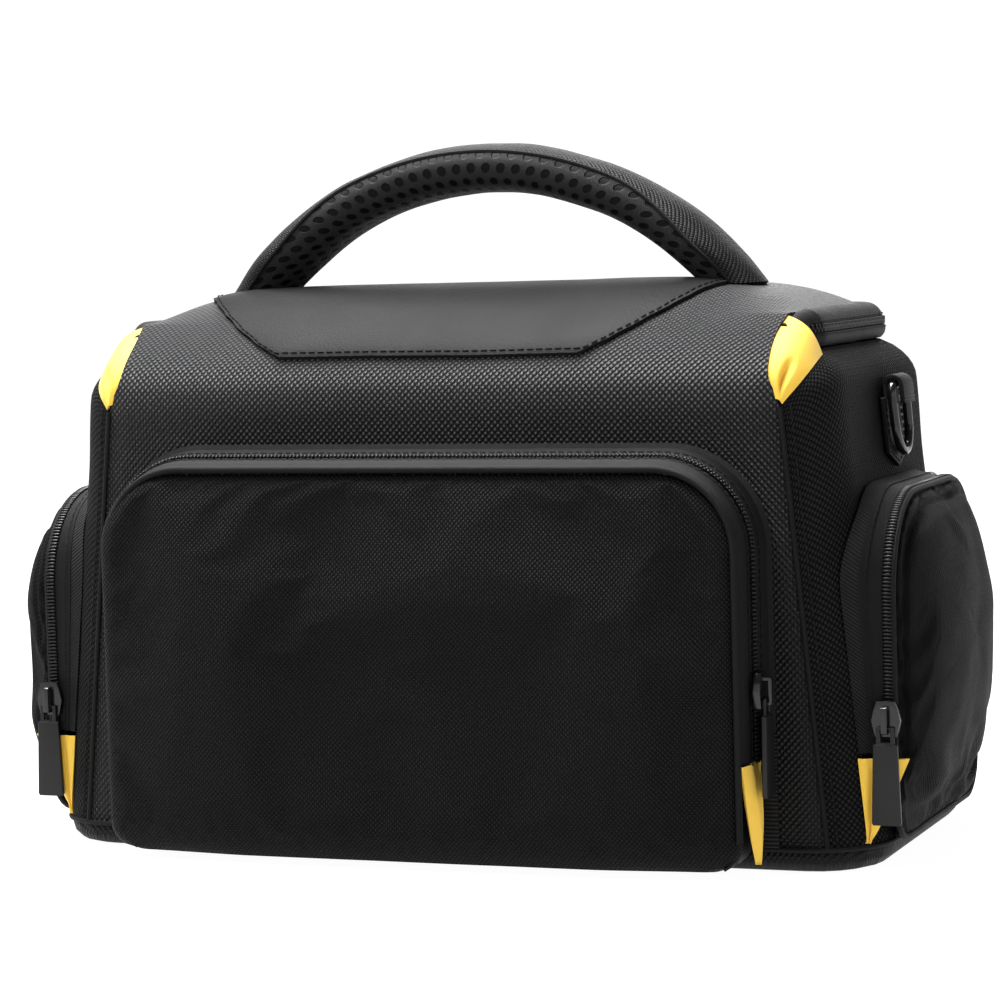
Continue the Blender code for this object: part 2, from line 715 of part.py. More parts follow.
def side_tape_mesh():
    grids = []
    for inset in (0.0004, 0.0016):
        rim = side_rim_outline(inset)
        grids.append([[Vector((x, y, z)) for y, z in rim] for x in (SIDE_ZIP_X, SIDE_ZIP_X + 0.0018)])
    return sheet_mesh(*grids)


# Bulge of the pocket shell from its zip outwards: (x, half width, top, bottom).
SHELL_RINGS = (
    (SIDE_SHELL_X, 0.0552, 0.1205, 0.0092), (0.1570, 0.0525, 0.1160, 0.0160), (0.1615, 0.0480, 0.1110, 0.0250),
    (0.1655, 0.0420, 0.1030, 0.0360), (0.1685, 0.0330, 0.0930, 0.0480), (0.1700, 0.0220, 0.0820, 0.0590),
)


def side_shell_mesh():
    grids = []
    for inset in (0.0, SIDE_SHELL_WALL):
        rows = []
        for index, (x, half, top, bottom) in enumerate(SHELL_RINGS):
            top_radius = min(0.032, half * 0.62, (top - bottom) * 0.45)
            bottom_radius = min(0.014, half * 0.4, (top - bottom) * 0.3)
            middle = min(GUSSET_TOP + 0.0005, bottom + (top - bottom) * 0.45)
            outline = pocket_outline(half - inset, top - inset, bottom + inset,
                                     top_radius - inset, bottom_radius - inset,
                                     max(middle, bottom + 0.016), front_corner=True)
            depth = inset if index else 0.0
            rows.append([Vector((x - depth, y, z)) for y, z in outline])
        grids.append(rows)
    return sheet_mesh(*grids, cyclic=True, capped=True)


def side_gusset_mesh():
    y_front = -SIDE_POCKET_ZIP_HALF_WIDTH - 0.0012
    top = GUSSET_TOP - 0.0003
    edge = side_surface_x(y_front, top) + 0.0008
    low = side_surface_x(y_front, 0.012) + 0.0008
    insert = ((edge, top), (0.1518, top), (0.1508, 0.026), (0.1490, 0.012), (low, 0.0095))
    return loft_mesh([[Vector((x, y, z)) for x, z in insert] for y in (y_front, y_front + 0.0010)])


def build_side_pockets(paints):
    root = (0.0, 0.0, 0.0)
    axis = (SIDE_POCKET_AXIS_X, 0.0, SIDE_POCKET_AXIS_Z)
    for word, side in (("left", -1), ("right", 1)):
        add_side("side_pocket_wall_" + word, side_wall_mesh, paints["zip"], side, root)
        add_side("side_zip_tape_" + word, side_tape_mesh, paints["zip"], side, root)
        add_side("side_pocket_shell_" + word, side_shell_mesh, paints["nylon"], side, axis)
        add_side("side_gusset_" + word, side_gusset_mesh, paints["yellow"], side, root)


# ---------------------------------------------------------------- strap rings
def tab_mesh():
    """Webbing folded round the ring's bar and stitched down over a wider patch."""
    slope = (BASE_HALF_WIDTH - HINGE_HALF_WIDTH) / HINGE_HEIGHT
    inner_radius = RING_WIRE + 0.00035
    outer_radius = inner_radius + STRAP_THICKNESS
    bar_offset = 0.0003 + outer_radius
    half = RING_HALF_WIDTH - RING_WIRE - 0.0006

    def lean(points):
        """Offsets from the wall's face become x at each height."""
        return [(half_width(RING_BAR_HEIGHT) + offset + slope * (RING_BAR_HEIGHT - z), z) for offset, z in points]

    outline = [(bar_offset - outer_radius, RING_BAR_HEIGHT - 0.014)]
    outline += arc((bar_offset, RING_BAR_HEIGHT), outer_radius, 180, 0, 8)
    outline += [(bar_offset + outer_radius, RING_BAR_HEIGHT - 0.006)]
    outline += [(bar_offset + inner_radius, RING_BAR_HEIGHT - 0.006)]
    outline += arc((bar_offset, RING_BAR_HEIGHT), inner_radius, 0, 180, 8)
    outline += [(bar_offset - inner_radius, RING_BAR_HEIGHT - 0.014)]
    loop = [[Vector((x, RING_Y + y, z)) for x, z in lean(outline)] for y in (-half, half)]

    patch_half = 0.0115
    patch_top = RING_BAR_HEIGHT - 0.004
    patch_bottom = 0.1265
    plate = ((-patch_half, patch_top), (patch_half, patch_top), (patch_half, patch_bottom + 0.005),
             (0.0, patch_bottom), (-patch_half, patch_bottom + 0.005))
    sections = []
    for offset in (0.0003, 0.0003 + STRAP_THICKNESS - 0.0002):
        sections.append([Vector((lean([(offset, z)])[0][0], RING_Y + y, z)) for y, z in plate])
    return union_mesh("tab", [loft_mesh(loop), loft_mesh(sections)])


def ring_mesh():
    slope = (BASE_HALF_WIDTH - HINGE_HALF_WIDTH) / HINGE_HEIGHT
    bar_x = half_width(RING_BAR_HEIGHT) + 0.0003 + RING_WIRE + 0.00035 + STRAP_THICKNESS
    corner = 0.003
    bow_height = RING_BOTTOM + 0.0115
    path = arc((RING_HALF_WIDTH - corner, RING_BAR_HEIGHT - corner), corner, 90, 0, 3)
    for step in range(1, 12):
        angle = -math.pi * step / 12
        path.append((RING_HALF_WIDTH * math.cos(angle), bow_height + (bow_height - RING_BOTTOM) * math.sin(angle)))
    path += arc((-RING_HALF_WIDTH + corner, RING_BAR_HEIGHT - corner), corner, 180, 90, 3)
    points = [Vector((bar_x + slope * (RING_BAR_HEIGHT - z), RING_Y + y, z)) for y, z in path]
    normal = Vector((1, 0, slope)).normalized()
    sections = []
    for index, point in enumerate(points):
        along = (points[(index + 1) % len(points)] - points[index - 1]).normalized()
        side = along.cross(normal).normalized()
        ring = []
        for step in range(8):
            angle = math.tau * step / 8
            ring.append(point + (side * math.cos(angle) + normal * math.sin(angle)) * RING_WIRE)
        sections.append(ring)
    return loft_mesh(sections, closed=True)


def build_strap_rings(paints):
    bar_x = half_width(RING_BAR_HEIGHT) + 0.0003 + RING_WIRE + 0.00035 + STRAP_THICKNESS
    for word, side in (("left", -1), ("right", 1)):
        add_side("d_ring_tab_" + word, tab_mesh, paints["binding"], side, (0.0, 0.0, 0.0))
        add_side("d_ring_" + word, ring_mesh, paints["metal"], side, (bar_x, RING_Y, RING_BAR_HEIGHT))


# ---------------------------------------------------------------- zip sliders and pulls
# Local frame: x across the tape, y towards the slider's head, z away from the tape.
PULL_AXIS = Vector((0.0, -0.0028, 0.0041))


def slider_mesh():
    outline = ((0.0030, 0.0058), (0.0040, 0.0030), (0.0048, -0.0005), (0.0040, -0.0040), (0.0036, -0.0056),
               (-0.0036, -0.0056), (-0.0040, -0.0040), (-0.0048, -0.0005), (-0.0040, 0.0030), (-0.0030, 0.0058))
    body = prism_mesh(outline, 0.0008, 0.0032)
    bridge_outline = ((0.0042, 0.0030), (0.0042, 0.0056), (0.0038, 0.0060), (-0.0042, 0.0060), (-0.0046, 0.0056),
                      (-0.0046, 0.0030), (-0.0036, 0.0030), (-0.0036, 0.0050), (0.0032, 0.0050), (0.0032, 0.0030))
    bridge = loft_mesh([[Vector((x, y, z)) for y, z in bridge_outline] for x in (-0.0010, 0.0010)])
    return union_mesh("slider", [body, bridge])


def pull_mesh():
    eye_outer = [(0.0030, -0.0023), (0.0030, -0.0086), (-0.0030, -0.0086), (-0.0030, -0.0023)]
    eye_inner = [(0.0017, -0.0033), (0.0017, -0.0074), (-0.0017, -0.0074), (-0.0017, -0.0033)]
    levels = (PULL_AXIS.z - 0.0005, PULL_AXIS.z + 0.0005)
    grids = [[[Vector((x, y, z)) for x, y in loop] for z in levels] for loop in (eye_outer, eye_inner)]
    eye = sheet_mesh(*grids, cyclic=True)
    tab_outline = ((0.0040, -0.0080), (0.0049, -0.0335), (0.0044, -0.0342), (-0.0044, -0.0342),
                   (-0.0049, -0.0335), (-0.0040, -0.0080))
    tab = prism_mesh(tab_outline, PULL_AXIS.z - 0.0008, PULL_AXIS.z + 0.0008)
    return union_mesh("pull", [eye, tab])


def zip_frame(position, across, head):
    """Matrix of a slider's local frame, from its place and two of its axes."""
    across = Vector(across).normalized()
    head = Vector(head).normalized()
    outward = across.cross(head)
    rotation = Matrix((across, head, outward)).transposed().to_4x4()
    return Matrix.Translation(position) @ rotation


def build_sliders(paints):
    main_y = ROLL_REAR + ROLL_RADIUS
    main_z = ROLL_HEIGHT + ROLL_RADIUS * math.sin(math.radians(12.5))
    front_x = FRONT_POCKET_HALF_WIDTH
    side_y = -SIDE_POCKET_ZIP_HALF_WIDTH - 0.0016
    frames = {
        "main_{}_left": zip_frame((-0.012, main_y, main_z), (0, 0, 1), (1, 0, 0)),
        "main_{}_right": zip_frame((0.012, main_y, main_z), (0, 0, -1), (-1, 0, 0)),
        "front_{}": zip_frame((front_x, FRONT_ZIP_Y, 0.0615), (0, 1, 0), (0, 0, 1)),
        "side_{}_left": zip_frame((-SIDE_ZIP_X - 0.0012, side_y, 0.0500), (1, 0, 0), (0, 0, 1)),
        "side_{}_right": zip_frame((SIDE_ZIP_X + 0.0012, side_y, 0.0500), (1, 0, 0), (0, 0, 1)),
    }
    for pattern, frame in frames.items():
        slider = turn_mesh(slider_mesh(), frame)
        finish_object(pattern.format("slider"), slider, paints["metal"], frame.translation)
        pull = turn_mesh(pull_mesh(), frame)
        finish_object(pattern.format("pull"), pull, paints["pull"], frame @ PULL_AXIS)


# ---------------------------------------------------------------- build
def main():
    for item in list(bpy.data.objects):
        bpy.data.objects.remove(item)
    paints = make_materials()
    build_base(paints)
    build_walls(paints)
    build_lining(paints)
    build_dividers(paints)
    build_roll(paints)
    build_lid(paints)
    build_patch(paints)
    build_corner_gussets(paints)
    build_handle(paints)
    build_front_pocket(paints)
    build_side_pockets(paints)
    build_strap_rings(paints)
    build_sliders(paints)


main()
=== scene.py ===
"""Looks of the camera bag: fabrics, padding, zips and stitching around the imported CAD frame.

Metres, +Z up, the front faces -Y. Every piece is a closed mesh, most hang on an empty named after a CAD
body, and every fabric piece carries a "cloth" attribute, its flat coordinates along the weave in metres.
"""
import math

import bmesh
import bpy
from mathutils import Matrix, Vector, noise


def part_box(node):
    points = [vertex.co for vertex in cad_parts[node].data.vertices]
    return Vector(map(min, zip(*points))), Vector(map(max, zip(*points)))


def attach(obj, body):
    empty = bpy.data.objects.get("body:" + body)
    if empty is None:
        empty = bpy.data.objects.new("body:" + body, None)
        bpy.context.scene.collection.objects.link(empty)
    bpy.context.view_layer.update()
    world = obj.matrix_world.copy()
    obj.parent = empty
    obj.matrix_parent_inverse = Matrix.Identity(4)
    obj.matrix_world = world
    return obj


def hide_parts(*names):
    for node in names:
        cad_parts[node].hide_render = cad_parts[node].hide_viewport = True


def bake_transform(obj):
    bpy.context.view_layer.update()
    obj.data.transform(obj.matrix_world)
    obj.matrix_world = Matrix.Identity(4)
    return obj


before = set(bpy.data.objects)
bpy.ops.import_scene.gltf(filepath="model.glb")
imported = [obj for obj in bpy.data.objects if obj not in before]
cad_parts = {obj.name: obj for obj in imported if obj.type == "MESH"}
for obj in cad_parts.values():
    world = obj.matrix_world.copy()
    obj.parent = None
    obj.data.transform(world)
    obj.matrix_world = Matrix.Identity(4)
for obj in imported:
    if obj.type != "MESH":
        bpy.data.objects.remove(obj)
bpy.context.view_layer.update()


# ---------------------------------------------------------------- driving dimensions
BASE_HALF_WIDTH = 0.150
HINGE_HALF_WIDTH = 0.136
BASE_HALF_DEPTH = 0.070
HINGE_HALF_DEPTH = 0.0687
HINGE_HEIGHT = 0.152
RIM_HEIGHT = 0.1685
CORNER_RADIUS = 0.025
SHOULDER_START = 0.155
SHOULDER_RADIUS = 0.015
WALL_BOTTOM = 0.0084
SEAM_TURN = 21.0  # degrees of each corner that belong to the front or rear panel
SKIN = 0.0015
LINING_INSET = 0.0104

ROLL_RADIUS = 0.0075
ROLL_HALF_WIDTH = 0.1193
ROLL_REAR = 0.0545
ROLL_HEIGHT = 0.1735
ROLL_FRONT = -0.0500
ROLL_CORNER_RADIUS = 0.015
ROLL_TAPER = 0.016
ROLL_END_SCALE = 0.45
ROLL_END_TUCK = 0.0035

HANDLE_ARC_RADIUS = 0.1106
HANDLE_ARC_HEIGHT = 0.121
HANDLE_HALF_THICKNESS = 0.0086
HANDLE_HALF_WIDTH = 0.016
HANDLE_END_HEIGHT = 0.1898
HANDLE_SPREAD = 0.016
HANDLE_LEAN = 0.0022

FRONT_POCKET_HALF_WIDTH = 0.1135
FRONT_POCKET_TOP = 0.136
FRONT_POCKET_BOTTOM = 0.003
FRONT_POCKET_RADIUS = 0.030
FRONT_FACE_Y = -0.0925
GUSSET_TOP = 0.038
STRIP_BOTTOM = GUSSET_TOP + 0.0005

SIDE_POCKET_BASE_HALF_WIDTH = 0.060
SIDE_POCKET_ZIP_HALF_WIDTH = 0.056
SIDE_POCKET_TOP = 0.124
SIDE_POCKET_BOTTOM = 0.0085
SIDE_ZIP_X = 0.1500

RING_BAR_HEIGHT = 0.1542
RING_Y = 0.008

# Start and end points handed to bend() with cloth that crosses a joint.
HINGE_START = (0.0, -0.0695, 0.149)
HINGE_END = (0.0, -0.066, 0.158)
HANDLE_FOLD = ((0, 0, 0.1885), (0, 0, 0.1985))
POCKET_FOLD_START = (0.0, -0.0735, 0.02)

SIDES = (("left", -1), ("right", 1))
WALL_ROW_POWER = 0.92  # under 1: rows of a wall's cloth lie closer together towards the rim

THREAD_WIDTH, THREAD_HEIGHT = 0.0005, 0.0004
INSERT_THICKNESS = 0.0008
MAIN_TOOTH = (0.0017, 0.0009, 0.0008)  # length, width and height of one zip tooth
FRONT_TOOTH = (0.0016, 0.00085, 0.0009)
SIDE_TOOTH = (0.0030, 0.0008, 0.0009)
MAIN_TOOTH_PITCH, FRONT_TOOTH_PITCH, SIDE_TOOTH_PITCH = 0.00085, 0.00135, 0.0012
LINING_BOTTOM, LINING_FLOOR_TOP, LINING_FLOOR_BOTTOM = 0.0132, 0.0146, 0.0129

# Side view of the front and lid fabric at its middle, bottom edge to the lid's rear: (y, z, half width).
SKIN_PROFILE = (
    (-0.0699, 0.0084, 0.1334), (-0.0695, 0.0400, 0.1305), (-0.0692, 0.0800, 0.1268),
    (-0.0689, 0.1200, 0.1231), (-0.0687, 0.1440, 0.1209), (-0.0685, 0.1535, 0.1195),
    (-0.0668, 0.1610, 0.1162), (-0.0620, 0.1680, 0.1155), (-0.0540, 0.1745, 0.1155),
    (-0.0440, 0.1805, 0.1170), (-0.0340, 0.1855, 0.1182), (-0.0220, 0.1895, 0.1185),
    (-0.0050, 0.1910, 0.1185), (0.0250, 0.1905, 0.1185), (0.0390, 0.1884, 0.1184),
    (0.0480, 0.1852, 0.1154), (0.0515, 0.1832, 0.1118), (0.0536, 0.1815, 0.1060),
)
LID_EDGE_HEIGHT = 0.1805
LID_CROWN_POWER = 8


# ---------------------------------------------------------------- node materials
class Signal:
    """A number that varies over a surface; arithmetic on it adds the shader nodes that work it out."""

    def __init__(self, paint, socket):
        self.paint, self.socket = paint, socket

    def combine(self, operation, first, second=0.0):
        node = self.paint.node("ShaderNodeMath", operation=operation)
        self.paint.put(node.inputs[0], first)
        self.paint.put(node.inputs[1], second)
        return Signal(self.paint, node.outputs[0])

    def __add__(self, other):
        return self.combine("ADD", self, other)

    def __sub__(self, other):
        return self.combine("SUBTRACT", self, other)

    def __rsub__(self, other):
        return self.combine("SUBTRACT", other, self)

    def __mul__(self, other):
        return self.combine("MULTIPLY", self, other)

    def __pow__(self, other):
        return self.combine("POWER", self, other)

    def sine(self):
        return self.combine("SINE", self)

    def cosine(self):
        return self.combine("COSINE", self)


class Paint:
    """A procedural material: a Principled shader with a height field and a colour field."""

    def __init__(self, name, roughness, specular=0.3, sheen=0.0, coat=0.0):
        self.material = bpy.data.materials.new(name)
        self.material.use_nodes = True
        self.tree = self.material.node_tree
        self.shader = self.tree.nodes["Principled BSDF"]
        settings = {"Roughness": roughness, "Specular IOR Level": specular,
                    "Sheen Weight": sheen, "Sheen Roughness": 0.45, "Coat Weight": coat}
        for socket, value in settings.items():
            self.shader.inputs[socket].default_value = value

    def node(self, kind, inputs=(), **settings):
        made = self.tree.nodes.new(kind)
        for key, value in settings.items():
            setattr(made, key, value)
        for key, value in inputs:
            self.put(made.inputs[key], value)
        return made

    def put(self, socket, value):
        if isinstance(value, Signal):
            self.tree.links.new(value.socket, socket)
        else:
            socket.default_value = value

    def split(self, vector):
        made = self.node("ShaderNodeSeparateXYZ", [("Vector", vector)])
        return [Signal(self, output) for output in made.outputs]

    def cloth_coordinates(self):
        """The piece's own flat cloth coordinates, in metres: across, along and both as a vector."""
        vector = Signal(self, self.node("ShaderNodeAttribute", attribute_name="cloth").outputs["Vector"])
        across, along, _ = self.split(vector)
        return across, along, vector

    def object_coordinates(self):
        return Signal(self, self.node("ShaderNodeTexCoord").outputs["Object"])

    def noise(self, vector, scale, detail=2.0):
        made = self.node("ShaderNodeTexNoise", [("Vector", vector), ("Scale", scale), ("Detail", detail)])
        return Signal(self, made.outputs["Fac"])

    def cells(self, vector, scale, feature="F1"):
        made = self.node("ShaderNodeTexVoronoi", [("Vector", vector), ("Scale", scale)], feature=feature)
        return Signal(self, made.outputs["Distance"])

    def ease(self, value, start, stop, lowest=0.0):
        """Smooth step from the lowest value to 1 between start and stop."""
        made = self.node("ShaderNodeMapRange", [("Value", value), ("From Min", start), ("From Max", stop),
                                                ("To Min", lowest)], interpolation_type="SMOOTHSTEP")
        return Signal(self, made.outputs[0])

    def color(self, factor, low, high):
        """Colour between two linear colours by a factor."""
        made = self.node("ShaderNodeMix", [("Factor", factor)], data_type="RGBA")
        made.inputs["A"].default_value = (*low, 1.0)
        made.inputs["B"].default_value = (*high, 1.0)
        self.tree.links.new(made.outputs["Result"], self.shader.inputs["Base Color"])

    def bump(self, height, distance):
        made = self.node("ShaderNodeBump", [("Height", height), ("Distance", distance), ("Strength", 1.0)])
        self.tree.links.new(made.outputs["Normal"], self.shader.inputs["Normal"])

    def roughness(self, factor, low, high):
        self.put(self.shader.inputs["Roughness"], factor * (high - low) + low)


def dotted_weave(name, pitch, low, high, roughness, specular=0.14, depth=0.00045, solid=False, painted_front_shade=None):
    """Ballistic nylon: raised yarn dots on a diamond lattice, stretched along one diagonal.

    Where a front shade factor is given, the cloth below the middle of its length, the bag's front, is darker
    by that factor than the cloth above it, the lid: painted shade for the light that falls on the lid from
    above.
    """
    paint = Paint(name, roughness, specular=specular)
    if solid:
        vector = paint.object_coordinates()
        x, y, z = paint.split(vector)
        across, along = x + y * 0.4, y + z
    else:
        across, along, vector = paint.cloth_coordinates()
    wander = (paint.noise(vector, 260.0) - 0.5) * 0.9
    first = across * (math.tau / pitch)
    second = along * (math.tau / (pitch * 1.06))
    rise = first + second + wander
    fall = first - second - wander
    one, two = (rise.cosine() + 1.0) * 0.5, (fall.cosine() + 1.0) * 0.5
    height = (one * two) ** 0.62 * 0.95 + two * 0.05
    shade = height * (paint.noise(vector, 45.0, 4.0) * 0.35 + 0.75)
    # Painted shade: the front below the lid is darkened by the given factor, so the lid looks lit from above.
    if painted_front_shade is not None:
        shade = shade * paint.ease(along, -0.012, 0.020, painted_front_shade)
    paint.color(shade, low, high)
    paint.bump(height + (rise * 5.0).cosine() * 0.05, depth)
    paint.roughness(paint.noise(vector, 600.0), roughness - 0.08, roughness + 0.10)
    return paint.material


def plain_weave(name, pitch, low, high, roughness, specular=0.12, sheen=0.0, depth=0.00012, solid=False):
    """Fine plain weave or twill tape: warp and weft threads over and under."""
    paint = Paint(name, roughness, specular=specular, sheen=sheen)
    if solid:
        vector = paint.object_coordinates()
        across, _, along = paint.split(vector)
    else:
        across, along, vector = paint.cloth_coordinates()
    height = (across * (math.tau / pitch)).sine() * (along * (math.tau / pitch)).sine() * 0.5 + 0.5
    blotch = paint.noise(vector, 120.0, 4.0)
    paint.color(height * 0.55 + blotch * 0.45, low, high)
    paint.bump(height + blotch * 0.6, depth)
    paint.roughness(blotch, roughness - 0.08, roughness + 0.08)
    return paint.material


def ribbed_tape(name, pitch, low, high, roughness, depth=0.0003, lengthwise=1):
    """Grosgrain tape: cords run across the strip; lengthwise says which cloth coordinate runs along it."""
    paint = Paint(name, roughness, specular=0.14)
    across, along, vector = paint.cloth_coordinates()
    if lengthwise == 0:
        across, along = along, across
    height = ((along * (math.tau / pitch)).cosine() + 1.0) * 0.5
    thread = (across * (math.tau / 0.0005)).sine()
    paint.color(height * (paint.noise(vector, 150.0, 3.0) + 0.5), low, high)
    paint.bump(height + thread * 0.12, depth)
    return paint.material


def honeycomb_mesh(name, cell, low, high, roughness):
    """Spacer mesh: round holes on a hexagonal grid, with a knitted ground between them."""
    paint = Paint(name, roughness, specular=0.10)
    across, along, vector = paint.cloth_coordinates()
    scale = math.tau / cell
    waves = [(across * (scale * math.cos(math.radians(turn)))
              + along * (scale * math.sin(math.radians(turn)))).cosine() for turn in (0, 60, 120)]
    ground = 1.0 - paint.ease(waves[0] + waves[1] + waves[2], 0.1, 1.3)
    knit = math.tau / 0.0007
    loops = (across * knit).sine() * (along * knit).sine() * 0.10
    paint.color(ground, low, high)
    paint.bump(ground + loops * ground, 0.0008)
    paint.roughness(paint.noise(vector, 400.0), roughness - 0.06, roughness + 0.06)
    return paint.material


def leather(name, low, high):
    """Smooth coated leather: fine pebble grain, faint scuffs."""
    paint = Paint(name, 0.5, specular=0.03)
    vector = paint.cloth_coordinates()[2]
    cloud = paint.noise(vector, 30.0, 5.0)
    specks = paint.noise(vector, 900.0, 3.0)
    paint.color(cloud * 0.7 + specks * 0.3, low, high)
    paint.bump(paint.cells(vector, 1500.0, "SMOOTH_F1") + specks * 0.5, 0.00008)
    paint.roughness(cloud, 0.42, 0.58)
    return paint.material


def painted_metal(name, color, roughness, coat=0.0):
    """Lacquered metal or moulded nylon: nearly smooth, with light wear."""
    paint = Paint(name, roughness, coat=coat)
    wear = paint.noise(paint.object_coordinates(), 90.0, 3.0)
    paint.color(wear, color, tuple(channel * 1.5 + 0.001 for channel in color))
    paint.bump(wear, 0.00002)
    paint.roughness(wear, roughness - 0.06, roughness + 0.10)
    return paint.material


def soft_foam(name, low, high):
    paint = Paint(name, 0.95, specular=0.1)
    cells = paint.cells(paint.object_coordinates(), 900.0)
    paint.color(cells, low, high)
    paint.bump(cells, 0.0003)
    return paint.material


def grey(level, warm=0.0):
    return (level * (1 + warm), level, level * (1.06 - warm))


def make_paints():
    return {
        # Body nylon: its front is painted 0.30 as bright as its lid, painted shade for the light from above.
        "nylon": dotted_weave("body_nylon_weave", 0.0022, grey(0.0004), grey(0.0620), 0.40, 0.18, 0.00060,
                              painted_front_shade=0.30),
        "fine": dotted_weave("fine_nylon_weave", 0.0016, grey(0.0002), grey(0.0120), 0.50, 0.08),
        "nylon_side": dotted_weave("side_nylon_weave", 0.0022, grey(0.0004), grey(0.0230), 0.62, 0.05,
                                   0.00060),
        "nylon_grip": dotted_weave("grip_nylon_weave", 0.0017, grey(0.0008), grey(0.0115), 0.48,
                                   depth=0.0003),
        "fine_side": dotted_weave("pocket_nylon_weave", 0.0016, grey(0.0003), grey(0.0160), 0.58, 0.06),
        "solid": dotted_weave("base_nylon_weave", 0.0020, grey(0.001), grey(0.009), 0.52, solid=True),
        "binding": plain_weave("binding_weave", 0.00055, grey(0.0022), grey(0.0075), 0.52),
        "tab": plain_weave("strap_weave", 0.0011, grey(0.002), grey(0.009), 0.55, solid=True),
        "tape": ribbed_tape("zip_tape_ribs", 0.0011, grey(0.002), grey(0.009), 0.55, depth=0.00015),
        "ribs": ribbed_tape("grosgrain_ribs", 0.0013, grey(0.001), grey(0.016), 0.55, lengthwise=0),
        "mesh": honeycomb_mesh("spacer_mesh_cells", 0.0052, grey(0.0006), grey(0.016), 0.62),
        "leather": leather("patch_leather_grain", grey(0.0085, 0.03), grey(0.0115, 0.03)),
        "yellow": plain_weave("yellow_nylon_weave", 0.0006, (0.72, 0.42, 0.035), (0.98, 0.64, 0.075), 0.55,
                              specular=0.3, sheen=0.2, depth=0.00008),
        "teeth": painted_metal("zip_coil_nylon", grey(0.004), 0.38),
        "metal": painted_metal("gloss_black_metal", grey(0.004), 0.22, coat=0.3),
        "pull": painted_metal("satin_black_pull", grey(0.0035), 0.40),
        "thread": plain_weave("black_thread", 0.0004, grey(0.004), grey(0.014), 0.50),
        "lining": plain_weave("grey_lining_weave", 0.0008, grey(0.045), grey(0.11), 0.80, sheen=0.3),
        "foam": soft_foam("foam_cells", grey(0.10), grey(0.22)),
        "board": soft_foam("board_grain", grey(0.02), grey(0.05)),
    }


# ---------------------------------------------------------------- mesh helpers
def new_piece(name, points, faces, paint, cloth=None, crease=50):
    """A smooth mesh object; cloth holds each point's flat coordinates."""
    mesh = bpy.data.meshes.new(name)
    mesh.from_pydata([tuple(point) for point in points], [], faces)
    data = bmesh.new()
    data.from_mesh(mesh)
    bmesh.ops.recalc_face_normals(data, faces=data.faces)
    if data.calc_volume(signed=True) < 0:
        bmesh.ops.reverse_faces(data, faces=data.faces)
    data.to_mesh(mesh)
    data.free()
    flat = [value for pair in cloth for value in (pair[0], pair[1], 0.0)]
    attribute = mesh.attributes.new("cloth", "FLOAT_VECTOR", "POINT")
    attribute.data.foreach_set("vector", flat)
    mesh.materials.append(paint)
    mesh.shade_smooth()
    mesh.set_sharp_from_angle(angle=math.radians(crease))
    piece = bpy.data.objects.new(name, mesh)
    bpy.context.scene.collection.objects.link(piece)
    return piece


def step_lengths(points):
    """Running length along a row of points, zero at its middle."""
    total = [0.0]
    for before, after in zip(points, points[1:]):
        total.append(total[-1] + (after - before).length)
    middle = total[len(total) // 2]
    return [length - middle for length in total]


def grid_normals(grid, inside, cyclic):
    """Outward normals of a grid of points; inside is a point behind it."""
    rows, columns = len(grid), len(grid[0])
    normals = []
    facing = 0.0
    for row in range(rows):
        line = []
        for column in range(columns):
            if cyclic:
                left = grid[row][(column - 1) % columns]
                right = grid[row][(column + 1) % columns]
            else:
                left = grid[row][max(column - 1, 0)]
                right = grid[row][min(column + 1, columns - 1)]
            below = grid[max(row - 1, 0)][column]
            above = grid[min(row + 1, rows - 1)][column]
            normal = (right - left).cross(above - below)
            if normal.length < 1e-12:
                normal = grid[row][column] - inside
            normal.normalize()
            facing += normal.dot(grid[row][column] - inside)
            line.append(normal)
        normals.append(line)
    if facing < 0:
        normals = [[-normal for normal in line] for line in normals]
    return normals


def sheet_piece(name, grid, thickness, paint, inside, cyclic=False, capped=False, lift=None, crease=50):
    """Closed thick sheet whose outer face is the grid; lift moves each point along its normal."""
    normals = grid_normals(grid, inside, cyclic)
    rows, columns = len(grid), len(grid[0])
    if lift:
        for row in range(rows):
            for column in range(columns):
                rise = lift(row / (rows - 1), column / (columns - 1), grid[row][column])
                grid[row][column] = grid[row][column] + normals[row][column] * rise
        normals = grid_normals(grid, inside, cyclic)
    middle_column = step_lengths([line[columns // 2] for line in grid])
    outer = []
    inner = []
    cloth = []
    for row in range(rows):
        across = step_lengths(grid[row])
        for column in range(columns):
            outer.append(grid[row][column])
            inner.append(grid[row][column] - normals[row][column] * thickness)
            cloth.append((across[column], middle_column[row]))
    count = rows * columns
    faces = []
    spans = columns if cyclic else columns - 1
    for row in range(rows - 1):
        for column in range(spans):
            after = (column + 1) % columns
            a, b = row * columns + column, row * columns + after
            c, d = a + columns, b + columns
            faces.append((a, b, d, c))
            faces.append((a + count, c + count, d + count, b + count))
    last = (rows - 1) * columns
    for column in range(spans):
        after = (column + 1) % columns
        faces.append((column, after, after + count, column + count))
        if not capped:
            faces.append((last + column, last + after, last + after + count, last + column + count))
    if capped:
        faces.append(tuple(range(last, last + columns)))
        faces.append(tuple(range(last + count, last + count + columns)))
    if not cyclic:
        for row in range(rows - 1):
            for column in (0, columns - 1):
                a = row * columns + column
                faces.append((a, a + columns, a + columns + count, a + count))
    return new_piece(name, outer + inner, faces, paint, cloth + cloth, crease)


